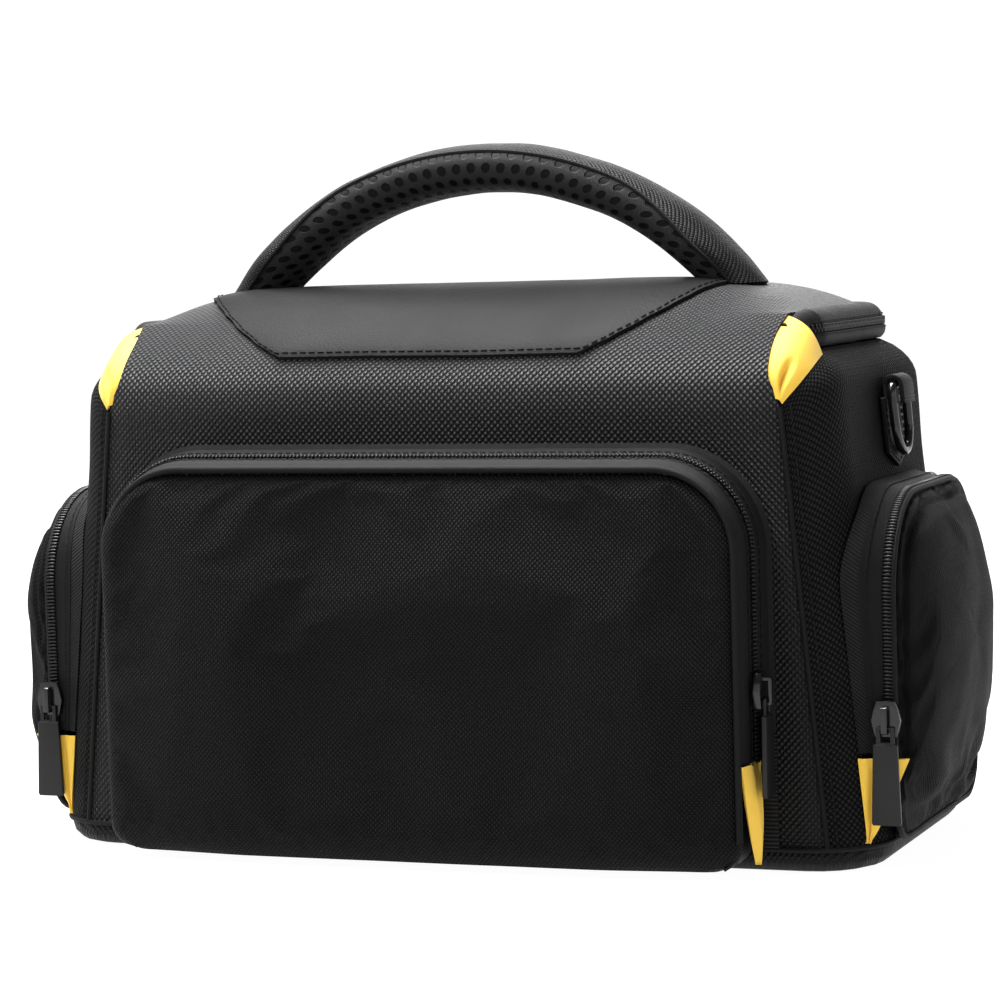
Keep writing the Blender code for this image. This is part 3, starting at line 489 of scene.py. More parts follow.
def loft_piece(name, sections, paint, closed=False, crease=50):
    """Skin a row of closed sections; open ends are capped."""
    count = len(sections[0])
    points = [point for section in sections for point in section]
    cloth = []
    along = 0.0
    for index, section in enumerate(sections):
        if index:
            along += (section[0] - sections[index - 1][0]).length
        around = 0.0
        for place, point in enumerate(section):
            if place:
                around += (point - section[place - 1]).length
            cloth.append((around, along))
    faces = []
    links = list(zip(range(len(sections) - 1), range(1, len(sections))))
    if closed:
        links.append((len(sections) - 1, 0))
    for row, following in links:
        for place in range(count):
            after = (place + 1) % count
            faces.append((row * count + place, row * count + after, following * count + after,
                          following * count + place))
    if not closed:
        faces.append(tuple(range(count)))
        faces.append(tuple(range((len(sections) - 1) * count, len(sections) * count)))
    return new_piece(name, points, faces, paint, cloth, crease)


BEAD_RINGS = ((-0.5, 0.5), (-0.38, 1.0), (0.38, 1.0), (0.5, 0.5))
BEAD_SIDES = 6


def bead_piece(name, places, length, width, height, paint):
    """Many small rounded bars in one mesh, for zip teeth and stitches; a place is (centre, along, up)."""
    points = []
    faces = []
    cloth = []
    for center, along, up in places:
        along = along.normalized()
        side = up.cross(along).normalized()
        top = along.cross(side).normalized()
        start = len(points)
        for share, scale in BEAD_RINGS:
            for step in range(BEAD_SIDES):
                angle = math.tau * step / BEAD_SIDES
                offset = side * (math.cos(angle) * width / 2) + top * (math.sin(angle) * height / 2)
                points.append(center + along * (share * length) + offset * scale)
                cloth.append((share * length, angle * width))
        for ring in range(len(BEAD_RINGS) - 1):
            for step in range(BEAD_SIDES):
                after = (step + 1) % BEAD_SIDES
                a = start + ring * BEAD_SIDES
                faces.append((a + step, a + after, a + BEAD_SIDES + after, a + BEAD_SIDES + step))
        faces.append(tuple(range(start, start + BEAD_SIDES)))
        end = start + (len(BEAD_RINGS) - 1) * BEAD_SIDES
        faces.append(tuple(range(end, end + BEAD_SIDES)))
    return new_piece(name, points, faces, paint, cloth, 60)


def spline(points, steps=8):
    """Smooth curve through the points, as vectors."""
    knots = [Vector(point) for point in points]
    result = []
    for index in range(len(knots) - 1):
        before = knots[max(index - 1, 0)]
        start, end = knots[index], knots[index + 1]
        after = knots[min(index + 2, len(knots) - 1)]
        for step in range(steps):
            t = step / steps
            result.append(0.5 * (2 * start + (end - before) * t
                                 + (2 * before - 5 * start + 4 * end - after) * t * t
                                 + (3 * start - before - 3 * end + after) * t ** 3))
    result.append(knots[-1])
    return result


def evenly(points, count, closed=False):
    """The same line with count points at even spacing."""
    line = list(points) + ([points[0]] if closed else [])
    lengths = [0.0]
    for before, after in zip(line, line[1:]):
        lengths.append(lengths[-1] + (after - before).length)
    spans = count if closed else count - 1
    result = []
    place = 0
    for step in range(count):
        target = lengths[-1] * step / spans
        while place < len(line) - 2 and lengths[place + 1] < target:
            place += 1
        span = max(lengths[place + 1] - lengths[place], 1e-12)
        result.append(line[place].lerp(line[place + 1], min(1.0, (target - lengths[place]) / span)))
    return result


def arc(center, radius, start, stop, steps):
    points = []
    for step in range(steps + 1):
        angle = math.radians(start + (stop - start) * step / steps)
        points.append((center[0] + radius * math.cos(angle), center[1] + radius * math.sin(angle)))
    return points


def smooth(value):
    value = max(0.0, min(1.0, value))
    return value * value * (3 - 2 * value)


def ripple(point, size, amount, seed=0.0):
    """Soft unevenness of padded cloth."""
    return amount * noise.noise(point / size + Vector((seed, seed * 0.7, 0)))


def relax_cloth(grid, inside, pin, growth, pressure, cap, cyclic=False, frames=16):
    """Let Blender's cloth settle a grid that was cut a little too large; pin holds 1 where it is sewn."""
    rows, columns = len(grid), len(grid[0])
    normals = grid_normals(grid, inside, cyclic)
    spans = columns if cyclic else columns - 1
    faces = [(row * columns + column, row * columns + (column + 1) % columns,
              (row + 1) * columns + (column + 1) % columns, (row + 1) * columns + column)
             for row in range(rows - 1) for column in range(spans)]
    first = (grid[0][1] - grid[0][0]).cross(grid[1][1] - grid[0][0])
    if first.dot(normals[0][0]) < 0:
        faces = [face[::-1] for face in faces]
    mesh = bpy.data.meshes.new("cloth")
    mesh.from_pydata([tuple(point) for line in grid for point in line], [], faces)
    item = bpy.data.objects.new("cloth", mesh)
    bpy.context.scene.collection.objects.link(item)
    group = item.vertex_groups.new(name="sewn")
    for row in range(rows):
        for column in range(columns):
            group.add([row * columns + column], pin(row / (rows - 1), column / (columns - 1)), "REPLACE")
    cloth = item.modifiers.new("cloth", "CLOTH")
    cloth.settings.quality = 4
    cloth.settings.vertex_group_mass = "sewn"
    cloth.settings.shrink_min = -growth
    cloth.settings.use_pressure = True
    cloth.settings.uniform_pressure_force = pressure
    cloth.settings.bending_stiffness = 4.0
    cloth.settings.effector_weights.gravity = 0.0
    cloth.collision_settings.use_collision = False
    cloth.point_cache.frame_start = 1
    cloth.point_cache.frame_end = frames
    scene = bpy.context.scene
    for frame_number in range(1, frames + 1):
        scene.frame_set(frame_number)
    settled = item.evaluated_get(bpy.context.evaluated_depsgraph_get())
    result = []
    for row in range(rows):
        line = []
        for column in range(columns):
            move = settled.data.vertices[row * columns + column].co - grid[row][column]
            if move.length > cap:
                move *= cap / move.length
            line.append(grid[row][column] + move)
        result.append(line)
    bpy.data.objects.remove(item)
    scene.frame_set(1)
    return result


def sewn_edges(reach):
    """Pin weights that hold a sheet's four edges and free it further in."""
    return lambda v, u: 1 - smooth(min(u, 1 - u, v, 1 - v) / reach)


def flip(point, side):
    """The point itself for side 1, its mirror image across the bag's middle for side -1."""
    return Vector((side * point.x, point.y, point.z))


def flip_grid(grid, side):
    return [[flip(point, side) for point in row] for row in grid]


def make_grid(rows, columns, point_at):
    """Rows of points; point_at takes the shares up the rows and along the columns, each 0 to 1."""
    return [[point_at(row / (rows - 1), column / (columns - 1)) for column in range(columns)]
            for row in range(rows)]


def bump_at(value, center, width):
    """A soft bump of height 1, for folds and dips."""
    return math.exp(-((value - center) / width) ** 2)


def dress(piece, slot_name, body, *nodes):
    """Hang a piece on its body and hide the CAD nodes it stands for; slot_name is not used."""
    if body:
        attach(piece, body)
    if nodes:
        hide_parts(*nodes)
    return piece


def bend(piece, slot_name, parent, child, start, end, *nodes):
    """For a piece that crosses a joint: hide the CAD nodes it stands for and bake its placement into the
    mesh.
    """
    dress(piece, slot_name, None, *nodes)
    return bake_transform(piece)


# ---------------------------------------------------------------- body outline
def half_width(height):
    taper = (BASE_HALF_WIDTH - HINGE_HALF_WIDTH) * height / HINGE_HEIGHT
    return BASE_HALF_WIDTH - taper - shoulder_inset(height)


def half_depth(height):
    taper = (BASE_HALF_DEPTH - HINGE_HALF_DEPTH) * height / HINGE_HEIGHT
    return BASE_HALF_DEPTH - taper - shoulder_inset(height)


def shoulder_inset(height):
    rise = height - SHOULDER_START
    if rise <= 0:
        return 0.0
    return SHOULDER_RADIUS - math.sqrt(SHOULDER_RADIUS**2 - min(rise, SHOULDER_RADIUS) ** 2)


def wall_point(turn, depth, height, inset=0.0):
    """Point of the wall on the right half; turn is the outward direction from +X in degrees."""
    radius = CORNER_RADIUS - inset
    x = half_width(height) - CORNER_RADIUS + radius * math.cos(math.radians(turn))
    y = depth * (half_depth(height) - CORNER_RADIUS) + radius * math.sin(math.radians(turn))
    return Vector((x, y, height))


def side_top(turn, depth):
    """Height of the side wall's upper edge, which dips to the lid's hinge line at the front corner."""
    if depth > 0:
        return RIM_HEIGHT
    share = max(0.0, 1 + turn / (90 - SEAM_TURN))
    return RIM_HEIGHT - (RIM_HEIGHT - HINGE_HEIGHT) * (1 - share) ** 2


def side_surface_x(y, height):
    """How far out the side wall's surface is at a depth and height."""
    overhang = max(0.0, abs(y) - (half_depth(height) - CORNER_RADIUS))
    bulge = math.sqrt(CORNER_RADIUS**2 - min(overhang, CORNER_RADIUS) ** 2)
    return half_width(height) - CORNER_RADIUS + bulge


CENTER = Vector((0.0, 0.0, 0.08))
SKIN_LINE = evenly(spline(SKIN_PROFILE), 121)


def skin_point(share, u, lift=0.0):
    """Front and lid fabric: share runs from the bottom edge over the lid, u across from -1 to 1."""
    place = share * (len(SKIN_LINE) - 1)
    index = min(int(place), len(SKIN_LINE) - 2)
    y, z, half = SKIN_LINE[index].lerp(SKIN_LINE[index + 1], place - index)
    before, after = SKIN_LINE[max(index - 1, 0)], SKIN_LINE[min(index + 2, len(SKIN_LINE) - 1)]
    along = Vector((after.x - before.x, after.y - before.y)).normalized()
    wrap = 1 - smooth((z - HINGE_HEIGHT) / 0.012)
    corner_start = half - CORNER_RADIUS * math.radians(SEAM_TURN)
    length = u * half
    x = length
    back = 0.0
    if abs(length) > corner_start:
        turn = (abs(length) - corner_start) / CORNER_RADIUS
        curled = corner_start + CORNER_RADIUS * math.sin(turn)
        x = math.copysign(abs(length) + (curled - abs(length)) * wrap, u)
        back = CORNER_RADIUS * (1 - math.cos(turn)) * wrap
    drop = max(0.0, z - LID_EDGE_HEIGHT) * abs(u) ** LID_CROWN_POWER
    point = Vector((x, y + back, z - drop))
    edge = min(1.0, (1 - abs(u)) * 9)
    rise = lift + ripple(point, 0.045, 0.0005 * edge) + ripple(point, 0.018, 0.00018 * edge, 3.0)
    return point + Vector((0, -along.y, along.x)) * rise


def share_at(height=None, depth=None):
    """Place along the skin line where it reaches a height, or a depth on the lid."""
    for index, point in enumerate(SKIN_LINE):
        high_enough = height is not None and point.y >= height
        deep_enough = depth is not None and point.y > SHOULDER_START and point.x >= depth
        if high_enough or deep_enough:
            return index / (len(SKIN_LINE) - 1)
    return 1.0


# ---------------------------------------------------------------- body and lid fabric
def build_front_skin(paints):
    grid = make_grid(150, 121, lambda v, u: skin_point(v, 2 * u - 1))
    piece = sheet_piece("front_skin", grid, SKIN, paints["nylon"], CENTER)
    bend(piece, "body_nylon", "body", "lid", HINGE_START, HINGE_END, "front_panel", "lid_panel")


def side_path(steps):
    """(turn, depth sign) along the right side wall, front seam to rear seam, even in length."""
    limit = 90 - SEAM_TURN - 1.0
    path = [(-limit + limit * step / 14, -1) for step in range(15)]
    path += [(limit * step / 14, 1) for step in range(15)]
    flat = evenly([wall_point(turn, depth, 0.08) for turn, depth in path], steps)
    result = []
    for point in flat:
        overhang = abs(point.y) - (half_depth(0.08) - CORNER_RADIUS)
        turn = math.degrees(math.asin(max(0.0, min(1.0, overhang / CORNER_RADIUS))))
        result.append((point.y, turn))
    return result


def side_wall_point(y_mid, turn, share, inset=0.0):
    """Right wall: y_mid is the station's depth at mid height, share its place between bottom and rim."""
    depth = -1 if y_mid < 0 else 1
    top = side_top(depth * turn, depth) if turn > 0 or depth > 0 else RIM_HEIGHT
    height = WALL_BOTTOM + (top - WALL_BOTTOM) * share
    if turn > 0:
        return wall_point(depth * turn, depth, height, inset)
    reach = half_depth(height) - CORNER_RADIUS
    flat = half_depth(0.08) - CORNER_RADIUS
    return Vector((half_width(height) - inset, y_mid / flat * reach, height))


def uneven_wall(coarse, fine, shoulder=0.0):
    """A lift for sheet_piece: two ripples, (size, amount, seed), that die out at the sewn edges."""
    size, amount, seed = coarse

    def lift(v, u, point):
        edge = min(1.0, 8 * u, 8 * (1 - u), 10 * v, 14 * (1 - v))
        fuller = shoulder * smooth((point.z - 0.120) / 0.03)
        return edge * (ripple(point, size, amount + fuller, seed) + ripple(point, *fine))

    return lift


def build_side_skins(paints):
    rows = 64
    path = side_path(61)
    wall = [[side_wall_point(y, turn, (row / (rows - 1)) ** WALL_ROW_POWER) for y, turn in path]
            for row in range(rows)]
    lift = uneven_wall((0.040, 0.0007, 5.0), (0.016, 0.0002, 9.0), shoulder=0.0009)
    for word, side in SIDES[::-1]:
        piece = sheet_piece("side_skin_" + word, flip_grid(wall, side), SKIN, paints["nylon_side"], CENTER,
                            lift=lift)
        dress(piece, "body_nylon", "body", "side_panel_" + word)


def build_rear_skin(paints):
    """Rear panel: it wraps a little way round both rear corners to its seams."""
    corner = CORNER_RADIUS * math.radians(SEAM_TURN)

    def point_at(v, u):
        height = WALL_BOTTOM + (RIM_HEIGHT - WALL_BOTTOM) * v ** WALL_ROW_POWER
        flat = half_width(height) - CORNER_RADIUS
        length = (2 * u - 1) * (flat + corner)
        turn = max(0.0, abs(length) - flat) / CORNER_RADIUS
        x = math.copysign(min(abs(length), flat) + CORNER_RADIUS * math.sin(turn), length)
        return Vector((x, half_depth(height) - CORNER_RADIUS * (1 - math.cos(turn)), height))

    grid = relax_cloth(make_grid(70, 97, point_at), CENTER, sewn_edges(0.05), 0.006, 0.4, 0.0025)
    lift = uneven_wall((0.050, 0.0008, 2.0), (0.018, 0.0002, 4.0))
    piece = sheet_piece("rear_skin", grid, SKIN, paints["nylon_side"], CENTER, lift=lift)
    dress(piece, "body_nylon", "body", "rear_panel")


def tube(path, ups, radius, sides=8, flat=1.0):
    """Round sections along a path; flat squeezes them along the up direction."""
    sections = []
    for index, point in enumerate(path):
        along = (path[min(index + 1, len(path) - 1)] - path[max(index - 1, 0)]).normalized()
        side = along.cross(ups[index]).normalized()
        up = side.cross(along)
        ring = []
        for step in range(sides):
            angle = math.tau * step / sides
            ring.append(point + side * (math.cos(angle) * radius) + up * (math.sin(angle) * radius * flat))
        sections.append(ring)
    return sections


def bound_edge(name, path, ups, radius, paints, body, *nodes, sides=8, flat=1.0, closed=False):
    """A round bound seam or piping along a path."""
    piece = loft_piece(name, tube(path, ups, radius, sides, flat), paints["binding"], closed=closed)
    return dress(piece, "plain_binding", body, *nodes)


def sew(name, path, ups, pitch, length, paint, body, slot_name="plain_binding", width=THREAD_WIDTH):
    """A row of stitches along a path."""
    piece = bead_piece(name, stitch_places(path, ups, pitch), length, width, THREAD_HEIGHT, paint)
    return dress(piece, slot_name, body)


def stitch_places(path, ups, pitch):
    """Evenly spaced (centre, along, up) places down a path."""
    total = sum((after - before).length for before, after in zip(path, path[1:]))
    count = max(2, int(total / pitch))
    points = evenly(path, count)
    normals = evenly_directions(path, ups, count)
    places = []
    for index, point in enumerate(points):
        along = points[min(index + 1, count - 1)] - points[max(index - 1, 0)]
        places.append((point, along, normals[index]))
    return places


def evenly_directions(path, ups, count):
    """Directions that go with the points of evenly()."""
    lengths = [0.0]
    for before, after in zip(path, path[1:]):
        lengths.append(lengths[-1] + (after - before).length)
    result = []
    place = 0
    for step in range(count):
        target = lengths[-1] * step / (count - 1)
        while place < len(path) - 2 and lengths[place + 1] < target:
            place += 1
        result.append(ups[place])
    return result


def build_corner_seams(paints):
    """A bound seam down each body corner, with a row of topstitching beside it."""
    turn = 90 - SEAM_TURN
    across, along = math.cos(math.radians(turn)), math.sin(math.radians(turn))
    for depth, word in ((-1, "front"), (1, "rear")):
        top = HINGE_HEIGHT - 0.001 if depth < 0 else RIM_HEIGHT - 0.002
        heights = [WALL_BOTTOM + (top - WALL_BOTTOM) * step / 40 for step in range(41)]
        for hand, side in SIDES[::-1]:
            seam = [flip(wall_point(depth * turn, depth, height, 0.0001), side) for height in heights]
            beside = [flip(wall_point(depth * (turn - 8), depth, height, -0.0004), side)
                      for height in heights]
            ups = [Vector((side * across, depth * along, 0))] * len(heights)
            bound_edge(f"corner_seam_{word}_{hand}", seam, ups, 0.0010, paints, "body")
            sew(f"corner_stitches_{word}_{hand}", beside, ups, 0.0034, 0.0026, paints["thread"], "body",
                width=0.00055)


# ---------------------------------------------------------------- rolled edge with the main zip
def roll_path():
    """Stations (centre, outward) of the rolled edge: right side, rear, left side."""
    inner_x = ROLL_HALF_WIDTH - ROLL_CORNER_RADIUS
    inner_y = ROLL_REAR - ROLL_CORNER_RADIUS
    path = []
    for step in range(24):
        y = ROLL_FRONT + (inner_y - ROLL_FRONT) * step / 24
        path.append((Vector((ROLL_HALF_WIDTH, y, ROLL_HEIGHT)), Vector((1, 0, 0))))
    for start, corner_x in ((0, inner_x), (90, -inner_x)):
        for step in range(15):
            turn = math.radians(start + 90 * step / 14)
            outward = Vector((math.cos(turn), math.sin(turn), 0))
            path.append((Vector((corner_x, inner_y, ROLL_HEIGHT)) + outward * ROLL_CORNER_RADIUS, outward))
        if start == 0:
            for step in range(1, 50):
                x = inner_x - 2 * inner_x * step / 50
                path.append((Vector((x, ROLL_REAR, ROLL_HEIGHT)), Vector((0, 1, 0))))
    for step in range(1, 25):
        y = inner_y + (ROLL_FRONT - inner_y) * step / 24
        path.append((Vector((-ROLL_HALF_WIDTH, y, ROLL_HEIGHT)), Vector((-1, 0, 0))))
    return path


def roll_point(center, outward, radius, angle):
    """Point of the roll's section; the roll thins and tucks in under the corner inserts at both ends."""
    turn = math.radians(angle)
    full = smooth((center.y - ROLL_FRONT) / ROLL_TAPER) if center.y < ROLL_FRONT + ROLL_TAPER else 1.0
    slim = radius * (ROLL_END_SCALE + (1 - ROLL_END_SCALE) * full)
    tucked = center - outward * (ROLL_END_TUCK * (1 - full))
    return tucked + outward * (slim * math.cos(turn)) + Vector((0, 0, slim * math.sin(turn)))


def roll_piece(name, start, stop, radius, thickness, steps, paint, puff=0.0):
    """One strip of the rolled edge between two angles above the horizontal, softly stuffed."""
    sections = []
    for center, outward in roll_path():
        outer = []
        inner = []
        for step in range(steps + 1):
            share = step / steps
            angle = start + (stop - start) * share
            swell = puff * math.sin(math.pi * share) + ripple(center, 0.02, puff * 0.3)
            outer.append(roll_point(center, outward, radius + swell, angle))
            inner.append(roll_point(center, outward, radius - thickness, angle))
        sections.append(outer + inner[::-1])
    return loft_piece(name, sections, paint)


def build_roll(paints):
    strips = (  # (name, body, CAD node, slot, paint, (from angle, to angle, inset, thickness, steps, puff))
        ("rim_roll", "body", "rim_band", "plain_binding", "binding", (-37, 0, 0.0, 0.0018, 8, 0.0004)),
        ("main_tape_lower", "body", "main_zip_tape_lower", "zip_tape", "tape",
         (2, 11.5, 0.0003, 0.0014, 4, 0.0)),
        ("main_tape_upper", "lid", "main_zip_tape_upper", "zip_tape", "tape",
         (13.5, 23, 0.0003, 0.0014, 4, 0.0)),
        ("lid_roll", "lid", "lid_band", "plain_binding", "binding", (25, 108, 0.0, 0.0018, 14, 0.0005)),
    )
    for name, body, node, slot_name, paint, (start, stop, inset, thickness, steps, puff) in strips:
        piece = roll_piece(name, start, stop, ROLL_RADIUS - inset, thickness, steps, paints[paint], puff)
        dress(piece, slot_name, body, node)

    stations = roll_path()
    line = [roll_point(center, outward, ROLL_RADIUS - 0.0001, 12.5) for center, outward in stations]
    ups = [outward for _, outward in stations]
    places = stitch_places(line, ups, MAIN_TOOTH_PITCH)
    for word, body, parity, lean in (("lower", "body", 0, -0.0005), ("upper", "lid", 1, 0.0005)):
        teeth = [(center + Vector((0, 0, lean)), Vector((0, 0, 1)), up)
                 for index, (center, _, up) in enumerate(places) if index % 2 == parity]
        piece = bead_piece("main_teeth_" + word, teeth, *MAIN_TOOTH, paints["teeth"])
        dress(piece, "zip_tape", body)
    for word, body, angle in (("rim", "body", -5), ("lid", "lid", 30)):
        seam = [roll_point(center, outward, ROLL_RADIUS + 0.0003, angle) for center, outward in stations]
        sew("roll_stitches_" + word, seam, ups, 0.0032, 0.0024, paints["thread"], body)


# ---------------------------------------------------------------- yellow corner inserts
def build_corner_inserts(paints):
    """Yellow cloth folded into the lid's front corners, from the body's corner to the lid fabric."""
    low_share, high_share = share_at(height=0.1530), share_at(depth=-0.0455)
    outward = Vector((0.60, -0.62, 0.50)).normalized()

    def point_at(v, u):
        turn = -67 + 52 * v
        low = wall_point(turn, -1, side_top(turn, -1) - 0.0010, -0.0002)
        high = skin_point(low_share + (high_share - low_share) * v, 0.988, -0.0006)
        swell = math.sin(math.pi * u) * (0.25 + 0.75 * v)
        fold = -0.0026 * bump_at(u, 0.45, 0.09) * smooth(1 - abs(v - 0.28) / 0.28)
        return low.lerp(high, u) + outward * (0.0042 * swell + fold)

    for word, side in SIDES[::-1]:
        grid = flip_grid(make_grid(31, 21, point_at), side)
        piece = sheet_piece("corner_insert_" + word, grid, 0.0009, paints["yellow"],
                            Vector((side * 0.10, -0.03, 0.15)))
        bend(piece, "yellow_nylon", "body", "lid", (side * 0.128, -0.060, 0.160),
             (side * 0.118, -0.060, 0.172), "corner_gusset_" + word)


# ---------------------------------------------------------------- leather patch
PATCH_OUTLINE = (  # (place from lower to upper edge, half width)
    (0.0, 0.0535), (0.04, 0.0575), (0.14, 0.0650), (0.30, 0.0740), (0.46, 0.0815), (0.62, 0.0875),
    (0.78, 0.0925), (0.90, 0.0952), (1.0, 0.0955),
)
PATCH_FRONT = -0.0625
PATCH_REAR = -0.0105
PATCH_LIFT = 0.0017
PATCH_SKEW = (0.0036, 0.0050)  # the patch sits this far left of the middle, and this much more at its rear


def patch_half(v):
    for (v0, w0), (v1, w1) in zip(PATCH_OUTLINE, PATCH_OUTLINE[1:]):
        if v <= v1:
            return w0 + (w1 - w0) * smooth_linear((v - v0) / (v1 - v0))
    return PATCH_OUTLINE[-1][1]


def smooth_linear(value):
    return 0.7 * value + 0.3 * smooth(value)


def patch_point(v, u, lift):
    """Point of the patch, laid on the lid fabric: v from front edge to rear, u from -1 to 1 across."""
    low, high = share_at(depth=PATCH_FRONT), share_at(depth=PATCH_REAR)
    share = low + (high - low) * v
    place = share * (len(SKIN_LINE) - 1)
    half = SKIN_LINE[min(int(place), len(SKIN_LINE) - 1)].z
    return skin_point(share, (u * patch_half(v) - PATCH_SKEW[0] - PATCH_SKEW[1] * v) / half, lift)


def build_patch(paints):
    """Leather patch with a rolled rim and a slightly hand-cut outline, stitched all round but at the rear."""
    def point_at(v, u):
        u = 2 * u - 1
        ragged = 0.0006 * noise.noise(Vector((u * 24, v * 16, 0.3)))
        reach = 1 + ragged * abs(u) ** 6 * 10
        rim = max(abs(u) ** 14, (2 * v - 1) ** 14)
        place = min(1.0, max(0.0, v + ragged * 6 * abs(2 * v - 1) ** 8))
        return patch_point(place, u * reach, PATCH_LIFT - 0.0004 * rim)

    piece = sheet_piece("leather_patch", make_grid(56, 91, point_at), 0.0011, paints["leather"], CENTER,
                        crease=60)
    dress(piece, "patch_leather", "lid", "lid_patch")

    inset, low = 0.982, 0.03
    climb = [low + 0.94 * step / 30 for step in range(31)]
    path = [patch_point(v, -inset, PATCH_LIFT) for v in reversed(climb)]
    path += [patch_point(low, inset * (2 * step / 40 - 1), PATCH_LIFT) for step in range(1, 40)]
    path += [patch_point(v, inset, PATCH_LIFT) for v in climb]
    ups = [Vector((0, -0.5, 0.86))] * len(path)
    sew("patch_stitches", path, ups, 0.0032, 0.0023, paints["leather"], "lid", "patch_leather")


# ---------------------------------------------------------------- handle
def handle_frame(share, radius):
    """Centre and radial direction of the arched grip at a share of its half length, -1 to 1."""
    limit = math.acos((HANDLE_END_HEIGHT - HANDLE_ARC_HEIGHT) / radius)
    angle = limit * share
    radial = Vector((math.sin(angle), 0, math.cos(angle)))
    center = Vector((0, 0, HANDLE_ARC_HEIGHT)) + radial * radius
    center.x += HANDLE_SPREAD * center.x - HANDLE_LEAN
    return center, radial


def handle_ring(share, start, stop, steps, puff=0.0):
    """Part of the grip's oval section, between two angles from +Y over the outside."""
    line = []
    for step in range(steps + 1):
        angle = math.radians(start + (stop - start) * step / steps)
        slim = 1 - 0.22 * smooth((abs(share) - 0.80) / 0.2)
        out = math.copysign(abs(math.sin(angle)) ** 0.86, math.sin(angle))
        side = math.copysign(abs(math.cos(angle)) ** 0.90, math.cos(angle))
        thick = (HANDLE_HALF_THICKNESS + puff) * out
        center, radial = handle_frame(share, HANDLE_ARC_RADIUS + thick)
        line.append(center + Vector((0, side * (HANDLE_HALF_WIDTH + puff) * slim, 0)))
    return line


def mesh_limit(share):
    """How far the mesh climbs the grip's side: it runs out in a point near each end."""
    return 8 + 30 * (1 - smooth((abs(share) - 0.45) / 0.4))


def build_handle(paints):
    """Padded grip: a woven cover over the outside, spacer mesh below, and a bound seam between them."""
    shares = [2 * row / 130 - 1 for row in range(131)]
    limits = [mesh_limit(share) for share in shares]
    center = Vector((0, 0, HANDLE_ARC_HEIGHT))

    def soften(v, u, point):
        return ripple(point, 0.022, 0.0006, 6.0) + ripple(point, 0.009, 0.00012, 1.0)

    top = [handle_ring(share, limit + 1, 180 - limit - 1, 28) for share, limit in zip(shares, limits)]
    cover = sheet_piece("handle_weave", top, 0.0014, paints["nylon_grip"], center, lift=soften)
    bend(cover, "body_nylon", "lid", "handle", *HANDLE_FOLD, "handle_cover", "handle_core")

    steps = 34
    sections = []
    for share, limit in zip(shares, limits):
        outer = handle_ring(share, limit, -180 - limit, steps, -0.0001)
        for index, point in enumerate(outer):
            away = Vector((0, point.y, 0)) + (point - center) * 0.15
            free = min(1.0, index / 4, (steps - index) / 4)
            outer[index] = point + away.normalized() * (soften(0, 0, point) * free)
        sections.append(outer + handle_ring(share, 180 - limit, limit, 16, -0.0020))
    pad = loft_piece("handle_mesh_pad", sections, paints["mesh"])
    bend(pad, "spacer_mesh", "lid", "handle", *HANDLE_FOLD, "handle_mesh")

    for side, word in ((-1, "front"), (1, "rear")):
        rings = [handle_ring(share, limit, 180 - limit, 2, 0.0001) for share, limit in zip(shares, limits)]
        path = [ring[0] if side > 0 else ring[-1] for ring in rings]
        ups = [Vector((0, side, 0))] * len(path)
        seam = loft_piece(f"handle_seam_{word}", tube(path, ups, 0.0007, 6), paints["binding"])
        bend(seam, "plain_binding", "lid", "handle", *HANDLE_FOLD)


# ---------------------------------------------------------------- front pocket
def arch_path(bottom=STRIP_BOTTOM):
    """(x, z, outward) stations up the left side, over the top and down the right side."""
    half, top, radius = FRONT_POCKET_HALF_WIDTH, FRONT_POCKET_TOP, FRONT_POCKET_RADIUS
    stations = []
    for step in range(24):
        stations.append((-half, bottom + (top - radius - bottom) * step / 24, Vector((-1, 0, 0))))
    for x, start in ((-half + radius, 180), (half - radius, 90)):
        for step in range(17):
            angle = math.radians(start - 90 * step / 16)
            outward = Vector((math.cos(angle), 0, math.sin(angle)))
            stations.append((x + radius * outward.x, top - radius + radius * outward.z, outward))
        if start == 180:
            for step in range(1, 56):
                stations.append((-half + radius + 2 * (half - radius) * step / 56, top, Vector((0, 0, 1))))
    for step in range(1, 25):
        stations.append((half, top - radius + (bottom - top + radius) * step / 24, Vector((1, 0, 0))))
    return stations


def arch_point(station, out, y):
    x, z, outward = station
    return Vector((x, y, z)) + outward * out


def arch_strip(name, outline, paint):
    """Sweep a closed outline of (outward, y) points round the pocket's arch."""
    sections = [[arch_point(station, out, y) for out, y in outline] for station in arch_path()]
    return loft_piece(name, sections, paint)


def rounded_strip(out_low, out_high, y_low, y_high, thickness, steps=6, belly=0.0):
    """Closed section of a curved strip: its outer face runs from (out_low, y_low) to (out_high, y_high)."""
    outer = []
    inner = []
    for step in range(steps + 1):
        share = step / steps
        y = y_low + (y_high - y_low) * share
        out = out_low + (out_high - out_low) * share + belly * math.sin(math.pi * share)
        outer.append((out, y))
        inner.append((out - thickness, y))
    return outer + inner[::-1]


def arch_line(out, y):
    """Points round the arch and the outward directions that go with them."""
    stations = arch_path()
    return [arch_point(station, out, y) for station in stations], [station[2] for station in stations]


def panel_edge_distance(x, z, half, top, radius):
    """Distance of a point of the front panel from its sides, top and rounded upper corners."""
    corner_x, corner_z = half - radius, top - radius
    if abs(x) > corner_x and z > corner_z:
        return radius - math.hypot(abs(x) - corner_x, z - corner_z)
    return min(half - abs(x), top - z)


PANEL_FOOT_RADIUS = 0.008
PANEL_LEAN = 0.0018


